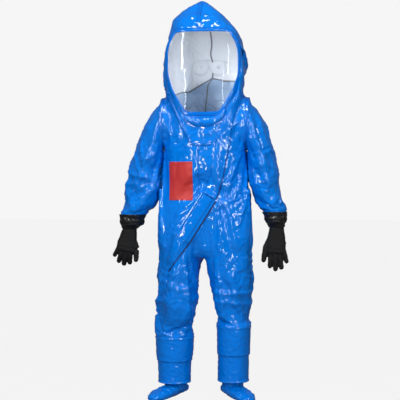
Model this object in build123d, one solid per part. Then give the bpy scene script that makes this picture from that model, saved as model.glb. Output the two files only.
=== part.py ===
"""Gas-tight chemical protective suit with hood, visor, gloves and booties, filled out as when it is worn.

Millimetres. +X is the suit's left, -Y its front, +Z up. Heights are written above the soles, and save()
lowers every piece by SHOULDER_HEIGHT, so that the origin lies midway between the two shoulder joints.
"""

import os
from math import cos, radians, sin, tan

from build123d import *

# ---------------------------------------------------------------- driving dimensions
SHOULDER_HEIGHT = 1330.0  # shoulder joint axis above the soles
WALL = 2.0  # laminate with its seams, as one wall
RUBBER = 1.6  # glove and gauntlet wall
JOINT_GAP = 0.5  # clearance between two bodies at a fabric joint
LAP_GAP = 0.2  # clearance between pieces that lie on each other
TAPE = 0.8  # seam tape and patch, laid on the laminate
TALL = 4000.0  # larger than the suit, for cutting blocks

# Trunk and hood sections: height, middle in x, half width, front, back, corner radius
TRUNK = [
    (680, 0, 232, -132, 135, 110),
    (740, 0, 235, -140, 140, 118),
    (920, 0, 235, -140, 140, 118),
    (1060, 0, 202, -140, 140, 118),
    (1210, 0, 196, -140, 140, 118),
    (1300, 0, 192, -142, 140, 118),
    (1380, 0, 190, -155, 142, 118),
    (1460, 0, 187, -172, 148, 118),
    (1560, 0, 196, -188, 188, 125),
    (1680, 0, 199, -190, 188, 130),
    (1756, -4, 186, -176, 172, 125),
    (1800, -12, 165, -156, 152, 105),
    (1845, -30, 138, -122, 122, 85),
    (1880, -25, 92, -82, 88, 55),
    (1910, -20, 48, -46, 54, 30),
    (1933, -15, 16, -20, 26, 14),
]
FRONT = -140.0  # the flat chest and belly front
HIP_HEIGHT = 680.0
NECK_HEIGHT = 1460.0  # hood seam at the sides and back
BIB_HEIGHT = 1222.0  # lowest edge of the hood's front bib
BIB_TOP_HALF = 175.0
BIB_FOOT_HALF = 55.0
BIB_DEPTH = 30.0  # the bib is in front of this y

# Arms
ARMHOLE_X = 205.0
ARMHOLE_RADIUS = 125.0
ARMHOLE_ROOT = 110.0
ELBOW_HEIGHT = 1100.0
ELBOW_UPPER_ANGLE = 36.0
ELBOW_LOWER_ANGLE = 46.0
# Sleeve sections below the shoulder: height, outward x, half width, half depth
SLEEVES = {
    "right": [(1150, 288, 80, 94), (1063, 301, 91, 90), (1000, 316, 88, 86), (930, 339, 77, 76), (858, 366, 54, 58)],
    "left": [(1150, 276, 68, 92), (1063, 285, 74, 87), (1000, 309, 64, 80), (930, 326, 57, 70), (872, 341, 48, 56)],
}
SHOULDER_BEND = (255, 1262, 87, 115, -32.5)  # the section where the sleeve turns down, and its tilt in degrees
WRIST = {"right": (378, 806), "left": (346, 815)}
HAND_SLANT = {"right": 9.0, "left": 3.5}
HAND_CURL = {"right": 30.0, "left": 12.0}
KNUCKLE_CURL = 0.45  # share of the curl at the knuckles; the rest is at the middle joint
GAUNTLET_LAP = 24.0  # how far the gauntlet laps over the sleeve
CUFF_RING_HEIGHT = 22.0
CUFF_RING_WALL = 3.0
BAND_HEIGHT = 14.0
BAND_WALL = 2.2
WRIST_HALF_WIDTH = 35.0
WRIST_HALF_DEPTH = 27.0
WRIST_FOLD = 12.0  # half the height of the flexible wrist

# Hands, measured from the wrist: drop, half width, half depth
PALM = [(0, 35, 27), (-35, 41, 23), (-72, 47, 20), (-104, 45, 15)]
# Fingers: offset towards the thumb, root drop, length, radius, spread towards the thumb in degrees
FINGERS = [(34, -92, 82, 11.5, 5), (11.5, -96, 90, 11.5, 0), (-11.5, -95, 84, 11.0, -5), (-33, -88, 66, 10.0, -13)]
THUMB = [(30, -42), (49, -88), (43, -150)]
THUMB_RADIUS = 13.0

# Legs: height, outward x, half width, middle in y, half depth
LEGS = {
    "right": [(680, 122, 111, 0, 118), (583, 131, 110, 0, 115), (460, 129, 97, 0, 104), (400, 136, 95, 4, 98)],
    "left": [(680, 117, 105, 0, 118), (583, 120, 100, 0, 114), (460, 121, 84, 0, 102), (400, 128, 84, 4, 97)],
}
KNEE_HEIGHT = 460.0
KNEE_UPPER_ANGLE = 38.0
KNEE_LOWER_ANGLE = 44.0
HIP_UPPER_ANGLE = 22.0
HIP_LOWER_ANGLE = 40.0
# Boot flaps: top height, outward x, half width, half depth at the top; the same at the hem
FLAPS = {
    "right": [(275, 154, 95, 94), (62, 155, 79, 84)],
    "left": [(332, 137, 84, 93), (72, 134, 76, 84)],
}
FLAP_BAND_SHARE = 0.5  # how much of a flap's height its sewn band takes
FLAP_LAP = 12.0  # how far the skirt reaches up inside the band
FLAP_CLEARANCE = 2.5
FLAP_SEAM = 14.0  # height of the sewn collar above the flap
UNDER_FLAP = 12.0  # how much narrower the leg is inside the flap
LEG_END = 152.0
ANKLE = {"right": (155, 135), "left": (134, 135)}
ANKLE_FOLD = 15.0
ANKLE_RADIUS = (56, 60)
TOE_OUT = {"right": 20.0, "left": 24.0}
SHAFT_BACK = 8.0  # the bootie's shaft stands this far behind the ankle
SHAFT_FOOT = 20.0  # height in the foot that the shaft rises from
# Foot sections along the foot from the ankle: distance forward, half width, height
FOOT = [(-90, 32, 44), (-60, 44, 52), (30, 52, 54), (75, 55, 49), (160, 52, 47), (228, 24, 34)]

# Visor
VISOR = [(-123, 1756), (123, 1756), (152, 1722), (170, 1668), (171, 1552), (145, 1478), (78, 1372), (-83, 1372),
         (-147, 1478), (-171, 1552), (-171, 1668), (-155, 1722)]
VISOR_CORNER = 14.0
VISOR_LAP = 14.0
LENS = 1.2
SEAL = 1.6
CHIN_ROLL = [(-88, 1366), (82, 1366), (98, 1392), (108, 1376), (92, 1338), (36, 1310), (-24, 1308), (-76, 1334)]
CHIN_ROLL_DEPTH = 9.0

# Air cylinder pouch on the back: height, half width, back, corner radius
POUCH = [(955, 108, 150, 40), (1015, 138, 236, 60), (1390, 148, 276, 70), (1500, 142, 258, 70), (1578, 108, 190, 45)]
POUCH_FRONT = 60.0

# Exhaust valves on the hood's back
VALVE_X = 46.0
VALVE_HEIGHT = 1625.0
HOOD_BACK = 188.0
VALVE_BORE = 19.0
VALVE_TUBE = 23.0
VALVE_FLANGE = 30.0
VALVE_TRAVEL = 2.5

# Closure: the straight stretch of zip runs up the front plane, at an angle from the vertical
ZIP_LEAN = 32.3
ZIP_FOOT = (-182.4, 626.0)  # x and height where the chain's line ends on the right thigh
ZIP_START, ZIP_END = 166.0, 404.0  # along the chain, from its foot
TAPE_WIDTH, TAPE_THICK = 14.0, 1.2
TOOTH_PITCH, TOOTH_LONG, TOOTH_REACH, TOOTH_HIGH = 6.0, 2.4, 4.4, 2.2
SLIDER_LONG, SLIDER_WIDE = 26.0, 18.0
FLAP_EDGE, FLAP_HINGE = -30.0, 36.0  # across the chain
FLAP_RISE = 11.0
FLAP_THICK = 1.5
STRIP_WIDE, STRIP_THICK = 12.0, 1.2
# Upper closure band on the chest and hood: x and height, up its outer edge and down its inner edge
BAND_OUTER = [(62, 957), (92, 1055), (119, 1195), (139, 1320), (163, 1420), (182, 1500), (194, 1600), (196, 1690)]
BAND_INNER = [(186, 1690), (178, 1590), (158, 1470), (122, 1402), (82, 1310), (58, 1200), (36, 1080), (6, 992)]
CHAIN_TOP = 1500.0  # where the chain ends beside the visor
CHAIN_THICK = 2.0
UPPER_FLAP_THICK = 4.0

# Chest patch: plain warning colour, on the right chest
PATCH = (-166, -50, 955, 1139)

SIDES = {"right": -1, "left": 1}

os.makedirs("parts", exist_ok=True)


# ---------------------------------------------------------------- helpers
def save(name, shape):
    """Writes one node, lowered so that the origin is at the shoulder line."""
    shape = shape.moved(Location((0, 0, -SHOULDER_HEIGHT)))
    export_step(shape, f"parts/{name}.step")


def block(x0, x1, y0, y1, z0, z1):
    return Pos((x0 + x1) / 2, (y0 + y1) / 2, (z0 + z1) / 2) * Box(x1 - x0, y1 - y0, z1 - z0)


def front_prism(points, y0, y1):
    """A prism through the suit from front to back, from an outline in x and height."""
    face = make_face(Polyline([(x, y0, z) for x, z in points], close=True))
    return extrude(face, amount=y1 - y0, dir=(0, 1, 0))


def side_prism(points):
    """A prism right through the suit from side to side, from an outline in y and height."""
    face = make_face(Polyline([(-TALL / 2, y, z) for y, z in points], close=True))
    return extrude(face, amount=TALL, dir=(1, 0, 0))


def visor_prism(by, y1=0.0):
    """The visor's outline, grown by a distance, with rounded corners, as a prism through the hood's front."""
    face = make_face(Polyline([(x, z, 0) for x, z in VISOR], close=True))
    face = fillet(face.vertices(), VISOR_CORNER)
    if by:
        face = offset(face, amount=by)
    prism = extrude(face, amount=y1 + TALL / 4)
    # local z becomes world y, and local y becomes height
    return Location((0, y1, 0), (90, 0, 0)) * prism


def section(row, off):
    z, x, half, front, back, radius = row
    return Pos(x, (front + back) / 2, z) * RectangleRounded(2 * (half + off), back - front + 2 * off, radius + off)


def trunk(off):
    """The trunk and hood as one solid, moved out by off all round."""
    rows = [list(row) for row in TRUNK]
    rows[0][0] -= off
    rows[-1][0] += off
    column = loft([section(row, off) for row in rows], ruled=True)
    for side in SIDES.values():
        column += shoulder_stub(side, off)
    return column


def shoulder_stub(side, off):
    """The round armhole rim that the sleeve turns on."""
    length = ARMHOLE_X - ARMHOLE_ROOT + (1 if off < 0 else 0)
    middle = side * (ARMHOLE_ROOT + length / 2)
    return Pos(middle, 0, SHOULDER_HEIGHT) * Rot(0, 90, 0) * Cylinder(ARMHOLE_RADIUS + off, length)


def pouch(off):
    rows = [list(row) for row in POUCH]
    rows[0][0] -= off
    rows[-1][0] += off
    faces = []
    for z, half, back, radius in rows:
        depth = back - POUCH_FRONT + 2 * off
        faces.append(Pos(0, (back + POUCH_FRONT) / 2, z) * RectangleRounded(2 * (half + off), depth, radius + off))
    return loft(faces, ruled=True)


def ring(x, y, z, half_width, half_depth, normal=(0, 0, -1)):
    plane = Plane(origin=(x, y, z), x_dir=(0, 1, 0), z_dir=normal)
    return plane * Ellipse(half_depth, half_width)


def tube(rings, wall, ruled=False):
    """A shell between a loft through the rings and the same loft one wall smaller."""
    outer = loft([ring(*r) for r in rings], ruled=ruled)
    inner = loft([ring(r[0], r[1], r[2], r[3] - wall, r[4] - wall, *r[5:]) for r in rings], ruled=ruled)
    return outer - inner


def bend_region(height, upper, lower, toward, gap=0.0):
    """The wedge of a fabric joint, from its hinge line out to one side, as a prism across the suit.

    toward is -1 for a joint that folds to the front and 1 for one that folds to the back."""
    reach = 400.0
    return side_prism([
        (0, height + gap),
        (toward * reach, height + reach * tan(radians(upper)) + gap),
        (toward * reach, height - reach * tan(radians(lower)) - gap),
        (0, height - gap),
    ])


def above(height):
    return block(-TALL / 2, TALL / 2, -TALL / 2, TALL / 2, height, height + TALL)


def below(height):
    return block(-TALL / 2, TALL / 2, -TALL / 2, TALL / 2, height - TALL, height)


def one_side(side):
    """The half of the space on one side of the suit's middle, short of the middle by a lap gap."""
    edge = LAP_GAP / 2
    return block(edge, TALL, -TALL, TALL, -TALL, TALL) if side > 0 else block(-TALL, -edge, -TALL, TALL, -TALL, TALL)


# ---------------------------------------------------------------- trunk, hood and visor
outside = trunk(0)
inside = trunk(-WALL)
shell = outside - inside

hip_holes = None
for name, side in SIDES.items():
    z, x, half, y, depth = LEGS[name][0]
    hole = Pos(side * x, y, HIP_HEIGHT) * extrude(Ellipse(half - WALL, depth - WALL), amount=10, both=True)
    hip_holes = hole if hip_holes is None else hip_holes + hole

pouch_outer, pouch_inner = pouch(0), pouch(-WALL)
bib = front_prism(
    [(-BIB_TOP_HALF, NECK_HEIGHT), (BIB_TOP_HALF, NECK_HEIGHT), (BIB_FOOT_HALF, BIB_HEIGHT),
     (-BIB_FOOT_HALF, BIB_HEIGHT)], -TALL / 4, -BIB_DEPTH)
hood_region = above(NECK_HEIGHT) + bib
hip_wedge = bend_region(HIP_HEIGHT, HIP_UPPER_ANGLE, HIP_LOWER_ANGLE, -1)

valve_holes = None
for side in SIDES.values():
    hole = Pos(side * VALVE_X, HOOD_BACK, VALVE_HEIGHT) * Rot(90, 0, 0) * Cylinder(VALVE_TUBE + LAP_GAP, 20)
    valve_holes = hole if valve_holes is None else valve_holes + hole

hood_shell = (shell & hood_region) - visor_prism(0) - pouch_inner - valve_holes
body_shell = shell - hood_region - hip_holes - pouch_inner
coverall_body = body_shell - hip_wedge
groin_front = body_shell & hip_wedge
back_pouch = pouch_outer - pouch_inner - outside

lens_shell = trunk(-WALL - LAP_GAP) - trunk(-WALL - LAP_GAP - LENS)
visor_lens = lens_shell & visor_prism(VISOR_LAP)
raised = trunk(SEAL)
visor_seal = ((raised - outside) & visor_prism(VISOR_LAP)) - visor_prism(0)

roll_prism = front_prism(CHIN_ROLL, -TALL / 4, -BIB_DEPTH)
chin_roll = ((trunk(CHIN_ROLL_DEPTH) - outside) & roll_prism) - visor_prism(VISOR_LAP + LAP_GAP)

hood_seam_tape = ((trunk(TAPE) - outside) & block(-27, -3, -TALL, TALL, 1790, TALL)) - visor_prism(VISOR_LAP + 1)

for name, shape in {
    "hood_shell": hood_shell, "coverall_body": coverall_body, "back_pouch": back_pouch,
    "visor_lens": visor_lens, "visor_seal": visor_seal, "chin_roll": chin_roll, "hood_seam_tape": hood_seam_tape,
}.items():
    save(name, shape)

patch_left, patch_right, patch_low, patch_high = PATCH
patch_skin = trunk(TAPE) - outside
save("chest_patch", patch_skin & block(patch_left, patch_right, -TALL, 0, patch_low, patch_high))


# ---------------------------------------------------------------- exhaust valves
def disc(radius, low, high, bore=0.0):
    """A disc or, with a bore, a washer. Its local z points out of the suit's back."""
    made = Pos(0, 0, (low + high) / 2) * Cylinder(radius, high - low)
    if bore:
        made -= Pos(0, 0, (low + high) / 2) * Cylinder(bore, high - low + 1)
    return made


def spoke(length, width):
    return Pos(0, 0, 3) * Box(length, width, 2)


housing = disc(VALVE_TUBE, -9, 5, VALVE_BORE) + disc(VALVE_FLANGE, 0, 3, VALVE_BORE)
housing += disc(VALVE_BORE + 1, 2, 4, VALVE_BORE - 4) + spoke(2 * VALVE_BORE, 3) + spoke(3, 2 * VALVE_BORE)
nut = disc(VALVE_FLANGE - 1, -7, -WALL - 0.1, VALVE_TUBE + 0.1)
cap = disc(VALVE_FLANGE - 2, 3.1, 14) - disc(VALVE_FLANGE - 4, 3, 12.5)
for turn in range(6):
    cap -= Rot(0, 0, 60 * turn) * Pos(VALVE_FLANGE, 0, 7) * Box(12, 12, 4)
valve_at = [Pos(side * VALVE_X, HOOD_BACK, VALVE_HEIGHT) * Rot(-90, 0, 0) for side in SIDES.values()]
save("valve_housings", Compound([at * housing for at in valve_at]))
save("valve_nuts", Compound([at * nut for at in valve_at]))
save("valve_caps", Compound([at * cap for at in valve_at]))
for name, at in zip(SIDES, valve_at):
    save(f"{name}_valve_flap", at * disc(VALVE_BORE - 0.5, 4.1, 5.0))

# ---------------------------------------------------------------- closure
lean = radians(ZIP_LEAN)
zip_plane = Plane(
    origin=(ZIP_FOOT[0], FRONT, ZIP_FOOT[1]), x_dir=(sin(lean), 0, cos(lean)), z_dir=(0, -1, 0)
)


def on_zip(u0, u1, v0, v1, w0, w1):
    """A block given along the chain, across it towards the flap's hinge, and out from the front."""
    made = Pos((u0 + u1) / 2, (v0 + v1) / 2, (w0 + w1) / 2) * Box(u1 - u0, v1 - v0, w1 - w0)
    return zip_plane * made


def rack(sign, start):
    """One side's teeth, moulded to a bead along the edge of its tape."""
    bead = sorted((sign * (TOOTH_REACH / 2 + 0.2), sign * (TOOTH_REACH / 2 + 2.2)))
    teeth = on_zip(ZIP_START + 2, ZIP_END - 2, *bead, TAPE_THICK, TAPE_THICK + TOOTH_HIGH)
    u = start
    while u + TOOTH_LONG < ZIP_END - 2:
        across = sorted((-sign * (TOOTH_REACH / 2 - 0.3), sign * (TOOTH_REACH / 2 + 0.4)))
        teeth += on_zip(u, u + TOOTH_LONG, *across, TAPE_THICK, TAPE_THICK + TOOTH_HIGH)
        u += TOOTH_PITCH
    return teeth


tape_inner = TOOTH_REACH / 2 + 0.2
save("zip_tape_hinge_side", on_zip(ZIP_START, ZIP_END, tape_inner, tape_inner + TAPE_WIDTH, 0, TAPE_THICK))
save("zip_tape_edge_side", on_zip(ZIP_START, ZIP_END, -tape_inner - TAPE_WIDTH, -tape_inner, 0, TAPE_THICK))
save("zip_teeth_hinge_side", rack(1, ZIP_START + 4))
save("zip_teeth_edge_side", rack(-1, ZIP_START + 4 + TOOTH_PITCH / 2))

slider_middle = ZIP_START + 5 + SLIDER_LONG / 2
chain_top = TAPE_THICK + TOOTH_HIGH
plate_low, plate_high = chain_top + 0.4, chain_top + 2.4
slider_u = (slider_middle - SLIDER_LONG / 2, slider_middle + SLIDER_LONG / 2)
slider = on_zip(*slider_u, -SLIDER_WIDE / 2, SLIDER_WIDE / 2, TAPE_THICK + 0.3, plate_high)
slider -= on_zip(slider_u[0] - 1, slider_u[1] + 1, -5.2, 5.2, 0, plate_low)
for post in (-1, 1):
    slider += on_zip(slider_middle + post * 6.2 - 0.8, slider_middle + post * 6.2 + 0.8, -2, 2, plate_high,
                     plate_high + 3.2)
slider += on_zip(slider_middle - 7, slider_middle + 7, -2, 2, plate_high + 2.2, plate_high + 3.4)
save("zip_slider", slider)
pull = on_zip(slider_middle - 4.2, slider_middle + 30, -4.5, 4.5, plate_high + 0.4, plate_high + 1.8)
pull -= on_zip(slider_middle + 5, slider_middle + 11, -2.4, 2.4, plate_high, plate_high + 3)
pull -= on_zip(slider_middle - 5, slider_middle - 2.4, -6, 6, plate_high, plate_high + 3)
save("zip_pull", pull)

flap_profile = [
    (FLAP_HINGE - 0.5, FLAP_RISE), (FLAP_HINGE - 0.5, FLAP_RISE + FLAP_THICK), (-12, FLAP_RISE + FLAP_THICK),
    (-18.5, 4.2), (FLAP_EDGE, 4.2), (FLAP_EDGE, 2.7), (-17.5, 2.7), (-11.2, FLAP_RISE),
]
flap_face = make_face(Polyline([(0, v, w) for v, w in flap_profile], close=True))
storm_flap = zip_plane * (Pos(ZIP_START, 0, 0) * extrude(flap_face, amount=ZIP_END - ZIP_START, dir=(1, 0, 0)))
save("storm_flap", storm_flap)
strip_edge = FLAP_EDGE + 0.5
save("flap_hook_strip", on_zip(ZIP_START, ZIP_END, strip_edge, strip_edge + STRIP_WIDE - 1, 1.5, 2.7))
save("flap_loop_strip", on_zip(ZIP_START, ZIP_END, strip_edge, strip_edge + STRIP_WIDE - 1, 0, STRIP_THICK))
flap_base = on_zip(ZIP_START, ZIP_END, FLAP_HINGE, FLAP_HINGE + 1.5, 0, FLAP_RISE - 0.8)
flap_base += on_zip(ZIP_START, ZIP_END, FLAP_HINGE, FLAP_HINGE + 12, 0, 1.2)
save("flap_base", flap_base - outside)

band_prism = front_prism(BAND_OUTER + BAND_INNER, -TALL / 4, 0)
chain_outline = [(0.62 * xo + 0.38 * xi, 0.62 * zo + 0.38 * zi)
                 for (xo, zo), (xi, zi) in zip(BAND_OUTER, reversed(BAND_INNER))]
chain_inner = [(0.38 * xo + 0.62 * xi, 0.38 * zo + 0.62 * zi)
               for (xo, zo), (xi, zi) in zip(BAND_OUTER, reversed(BAND_INNER))]
chain_prism = front_prism(chain_outline + chain_inner[::-1], -TALL / 4, 0)
chain_prism = chain_prism & below(CHAIN_TOP)
chain_space = trunk(CHAIN_THICK + LAP_GAP) & chain_prism
upper_flap = ((trunk(UPPER_FLAP_THICK) - outside) & band_prism) - chain_space
save("upper_flap", upper_flap - visor_prism(VISOR_LAP + LAP_GAP))
save("upper_chain", (trunk(CHAIN_THICK) - outside) & chain_prism)

# ---------------------------------------------------------------- arms
def capsule(start, end, radius):
    axis = Vector(*end) - Vector(*start)
    rod = extrude(Plane(origin=start, z_dir=axis) * Circle(radius), amount=axis.length)
    return rod + Pos(*start) * Sphere(radius) + Pos(*end) * Sphere(radius)


def hand(side, curl, off):
    """A glove's outer solid about its wrist, hanging down, with the palm to the back."""
    faces = []
    for drop, half, depth in PALM[:-1] + [(PALM[-1][0] - off, *PALM[-1][1:])]:
        radius = min(half, depth) * 0.85
        faces.append(Pos(0, 0, drop) * RectangleRounded(2 * (half + off), 2 * (depth + off), radius + off))
    made = loft(faces, ruled=True)
    for offset_u, root, length, radius, spread in FINGERS:
        x, y, z = -side * offset_u, 0.0, root
        for share, bend in ((0.5, curl * KNUCKLE_CURL), (0.5, curl)):
            run = length * share - radius / 2
            start = (x, y, z)
            x += -side * sin(radians(spread)) * run
            y += sin(radians(bend)) * run
            z -= cos(radians(bend)) * cos(radians(spread)) * run
            made += capsule(start, (x, y, z), radius + off)
    points = [(-side * u, 2.0 * n, z) for n, (u, z) in enumerate(THUMB)]
    for start, end in zip(points, points[1:]):
        made += capsule(start, end, THUMB_RADIUS + off)
    return made


for name, side in SIDES.items():
    rows = SLEEVES[name]
    bend_x, bend_z, bend_half, bend_depth, tilt = SHOULDER_BEND
    bend_normal = (side * cos(radians(tilt)), 0, sin(radians(tilt)))
    rim = (side * (ARMHOLE_X + JOINT_GAP), 0, SHOULDER_HEIGHT, ARMHOLE_RADIUS, ARMHOLE_RADIUS, (side, 0, 0))
    lower_rings = [(side * x, 0, z, half, depth) for z, x, half, depth in rows]
    rings = [rim, (side * bend_x, 0, bend_z, bend_half, bend_depth, bend_normal)] + lower_rings
    sleeve = tube(rings, WALL, ruled=True)
    crease = bend_region(ELBOW_HEIGHT, ELBOW_UPPER_ANGLE, ELBOW_LOWER_ANGLE, -1)
    save(f"{name}_upper_sleeve", (sleeve & above(ELBOW_HEIGHT + JOINT_GAP / 2)) - crease)
    save(f"{name}_forearm_sleeve", (sleeve & below(ELBOW_HEIGHT - JOINT_GAP / 2)) - crease)
    save(f"{name}_elbow_fold", sleeve & crease)

    # cuff: a rigid ring inside the sleeve's end, the glove's gauntlet over it, and a band that clamps them
    end_z, end_x, end_half, end_depth = rows[-1]
    wrist_x, wrist_z = WRIST[name]
    ring_rows = [
        (side * end_x, 0, end_z, end_half - WALL - LAP_GAP, end_depth - WALL - LAP_GAP),
        (side * end_x, 0, end_z - CUFF_RING_HEIGHT, end_half - WALL - LAP_GAP, end_depth - WALL - LAP_GAP),
    ]
    ring_low = end_z - CUFF_RING_HEIGHT
    save(f"{name}_cuff_ring", tube(ring_rows, CUFF_RING_WALL, ruled=True))
    reach = RUBBER + LAP_GAP
    lap_share = GAUNTLET_LAP / (rows[-2][0] - end_z)
    top_x = end_x + (rows[-2][1] - end_x) * lap_share
    top_half = end_half + (rows[-2][2] - end_half) * lap_share + reach + 1.5
    top_depth = end_depth + (rows[-2][3] - end_depth) * lap_share + reach + 1.5
    gauntlet_rows = [
        (side * top_x, 0, end_z + GAUNTLET_LAP, top_half, top_depth),
        (side * end_x, 0, end_z, end_half + reach, end_depth + reach),
        (side * end_x, 0, ring_low - 2, end_half + reach, end_depth + reach),
        (side * wrist_x, 0, wrist_z + WRIST_FOLD, WRIST_HALF_WIDTH + 3, WRIST_HALF_DEPTH + 3),
    ]
    gauntlet = tube(gauntlet_rows, RUBBER, ruled=True) - loft([ring(*r) for r in lower_rings], ruled=True)
    save(f"{name}_gauntlet", gauntlet)
    band_rows = [
        (side * end_x, 0, end_z - 2, end_half + reach + LAP_GAP + BAND_WALL, end_depth + reach + LAP_GAP + BAND_WALL),
        (side * end_x, 0, end_z - 2 - BAND_HEIGHT, end_half + reach + LAP_GAP + BAND_WALL,
         end_depth + reach + LAP_GAP + BAND_WALL),
    ]
    save(f"{name}_cuff_band", tube(band_rows, BAND_WALL, ruled=True))

    wrist_at = Pos(side * wrist_x, 0, wrist_z) * Rot(0, -side * HAND_SLANT[name], 0)
    glove_outer = wrist_at * hand(side, HAND_CURL[name], 0)
    glove_inner = wrist_at * hand(side, HAND_CURL[name], -RUBBER)
    glove = (glove_outer - glove_inner) & below(wrist_z - WRIST_FOLD)
    save(f"{name}_glove", glove)
    fold_rows = [
        (side * wrist_x, 0, wrist_z + WRIST_FOLD - LAP_GAP, WRIST_HALF_WIDTH, WRIST_HALF_DEPTH),
        (side * wrist_x, 0, wrist_z - WRIST_FOLD + LAP_GAP, WRIST_HALF_WIDTH + 3, WRIST_HALF_DEPTH - 1),
    ]
    save(f"{name}_wrist_fold", tube(fold_rows, RUBBER, ruled=True))

# ---------------------------------------------------------------- legs and feet
def between(share, low, high):
    return low + (high - low) * share


def bootie(off):
    """A foot sock with a short shaft, toes to the front, about its ankle."""
    faces = []
    for n, (forward, half, height) in enumerate(FOOT):
        ahead = forward + (off if n == len(FOOT) - 1 else -off if n == 0 else 0)
        plane = Plane(origin=(0, -ahead, height / 2 - 2), x_dir=(1, 0, 0), z_dir=(0, -1, 0))
        corner = min(half, height / 2) * 0.7
        faces.append(plane * RectangleRounded(2 * (half + off), height + 4 + 2 * off, corner))
    shaft_section = Pos(0, SHAFT_BACK, SHAFT_FOOT) * Ellipse(ANKLE_RADIUS[0] + off, ANKLE_RADIUS[1] + off)
    return (loft(faces, ruled=True) & above(max(0, -off))) + extrude(shaft_section, amount=LEG_END)


for name, side in SIDES.items():
    (top_z, top_x, top_half, top_depth), (hem_z, hem_x, hem_half, hem_depth) = FLAPS[name]
    leg_rows = [(side * x, y, z, half, depth) for z, x, half, y, depth in LEGS[name]]
    foot_y = leg_rows[-1][1]
    leg_rows += [
        (side * top_x, foot_y, top_z + FLAP_SEAM, top_half - 6, top_depth - 6),
        (side * top_x, foot_y, top_z, top_half - UNDER_FLAP, top_depth - UNDER_FLAP),
        (side * hem_x, foot_y, LEG_END, ANKLE_RADIUS[0] + 4, ANKLE_RADIUS[1] + 4),
    ]
    leg = tube(leg_rows, WALL, ruled=True)
    knee_crease = bend_region(KNEE_HEIGHT, KNEE_UPPER_ANGLE, KNEE_LOWER_ANGLE, 1)
    thigh = leg & above(KNEE_HEIGHT + JOINT_GAP / 2) & below(HIP_HEIGHT - JOINT_GAP / 2)
    save(f"{name}_thigh", thigh - knee_crease - hip_wedge)
    groin = (leg & hip_wedge & below(HIP_HEIGHT) & one_side(side)) + (groin_front & one_side(side))
    save(f"{name}_groin_fold", groin)
    save(f"{name}_knee_fold", leg & knee_crease)
    shin = leg & below(KNEE_HEIGHT - JOINT_GAP / 2)
    save(f"{name}_shin", shin - knee_crease)

    leg_solid = loft([ring(*r) for r in leg_rows], ruled=True)
    lap_z = hem_z + (top_z - hem_z) * FLAP_BAND_SHARE
    lap_share = (top_z - lap_z) / (top_z - hem_z)

    lap_x = between(lap_share, top_x, hem_x)
    lap_half = between(lap_share, top_half, hem_half)
    lap_depth = between(lap_share, top_depth, hem_depth)
    band = [
        (side * top_x, foot_y, top_z + FLAP_SEAM, top_half - 6 + WALL + LAP_GAP, top_depth - 6 + WALL + LAP_GAP),
        (side * top_x, foot_y, top_z, top_half, top_depth),
        (side * lap_x, foot_y, lap_z, lap_half, lap_depth),
    ]
    save(f"{name}_flap_band", tube(band, WALL, ruled=True) - leg_solid)
    inner = WALL + FLAP_CLEARANCE
    skirt = [
        (side * lap_x, foot_y, lap_z + FLAP_LAP, lap_half - inner, lap_depth - inner),
        (side * hem_x, foot_y, hem_z, min(hem_half, lap_half - inner), min(hem_depth, lap_depth - inner)),
    ]
    save(f"{name}_flap_skirt", tube(skirt, WALL, ruled=True))

    ankle_x, ankle_z = ANKLE[name]
    foot_at = Pos(side * ankle_x, foot_y, 0) * Rot(0, 0, side * TOE_OUT[name])
    sock = foot_at * bootie(0) - foot_at * bootie(-WALL)
    save(f"{name}_bootie", sock & below(ankle_z - ANKLE_FOLD))
    ankle_rows = [
        (side * hem_x, foot_y, LEG_END - LAP_GAP, ANKLE_RADIUS[0] + 4, ANKLE_RADIUS[1] + 4),
        (side * ankle_x, foot_y + 8, ankle_z - ANKLE_FOLD + LAP_GAP, ANKLE_RADIUS[0], ANKLE_RADIUS[1]),
    ]
    save(f"{name}_ankle_fold", tube(ankle_rows, WALL, ruled=True))

# the flap's lower end, which bends with the right hip
low_profile = [(ZIP_START - 1, 0), (ZIP_START - 1, 4), (96, 2), (0, -14), (0, -30), (96, -12)]
low_face = make_face(Polyline([(u, FLAP_EDGE, w) for u, w in low_profile], close=True))
low_flap = zip_plane * extrude(low_face, amount=FLAP_HINGE - FLAP_EDGE, dir=(0, 1, 0))
right_rows = [(-x, y, z, half, depth) for z, x, half, y, depth in LEGS["right"]]
save("lower_flap", low_flap - outside - loft([ring(*r) for r in right_rows], ruled=True))
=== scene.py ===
"""A chemical protective suit of glossy blue film: hood with a clear visor, back pouch, gloves, booties and
boot flaps, and a diagonal zip under a storm flap. Metres; +X is the suit's left, -Y its front, +Z up.
Heights in the tables are in millimetres above the soles."""

from math import asin, atan2, cos, hypot, pi, radians, sin

import bmesh
import bpy
import numpy as np
from mathutils import Matrix, Vector, noise
from mathutils.bvhtree import BVHTree


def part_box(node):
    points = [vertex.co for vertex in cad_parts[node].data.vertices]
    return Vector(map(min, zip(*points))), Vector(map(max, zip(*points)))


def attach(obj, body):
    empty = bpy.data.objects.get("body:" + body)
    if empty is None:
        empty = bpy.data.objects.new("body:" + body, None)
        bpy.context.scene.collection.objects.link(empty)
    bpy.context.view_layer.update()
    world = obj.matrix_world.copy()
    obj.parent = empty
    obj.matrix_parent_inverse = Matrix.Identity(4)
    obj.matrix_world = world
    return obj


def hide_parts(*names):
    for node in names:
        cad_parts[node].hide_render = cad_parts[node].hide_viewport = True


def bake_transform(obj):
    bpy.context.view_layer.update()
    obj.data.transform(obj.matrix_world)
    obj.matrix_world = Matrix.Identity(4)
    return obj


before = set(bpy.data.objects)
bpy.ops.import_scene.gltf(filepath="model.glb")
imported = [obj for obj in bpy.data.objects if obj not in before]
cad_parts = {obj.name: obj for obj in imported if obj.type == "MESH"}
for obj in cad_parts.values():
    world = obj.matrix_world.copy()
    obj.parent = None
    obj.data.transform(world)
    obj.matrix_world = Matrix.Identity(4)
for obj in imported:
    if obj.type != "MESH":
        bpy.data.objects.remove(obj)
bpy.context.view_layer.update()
bpy.ops.object.select_all(action="DESELECT")

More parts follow.
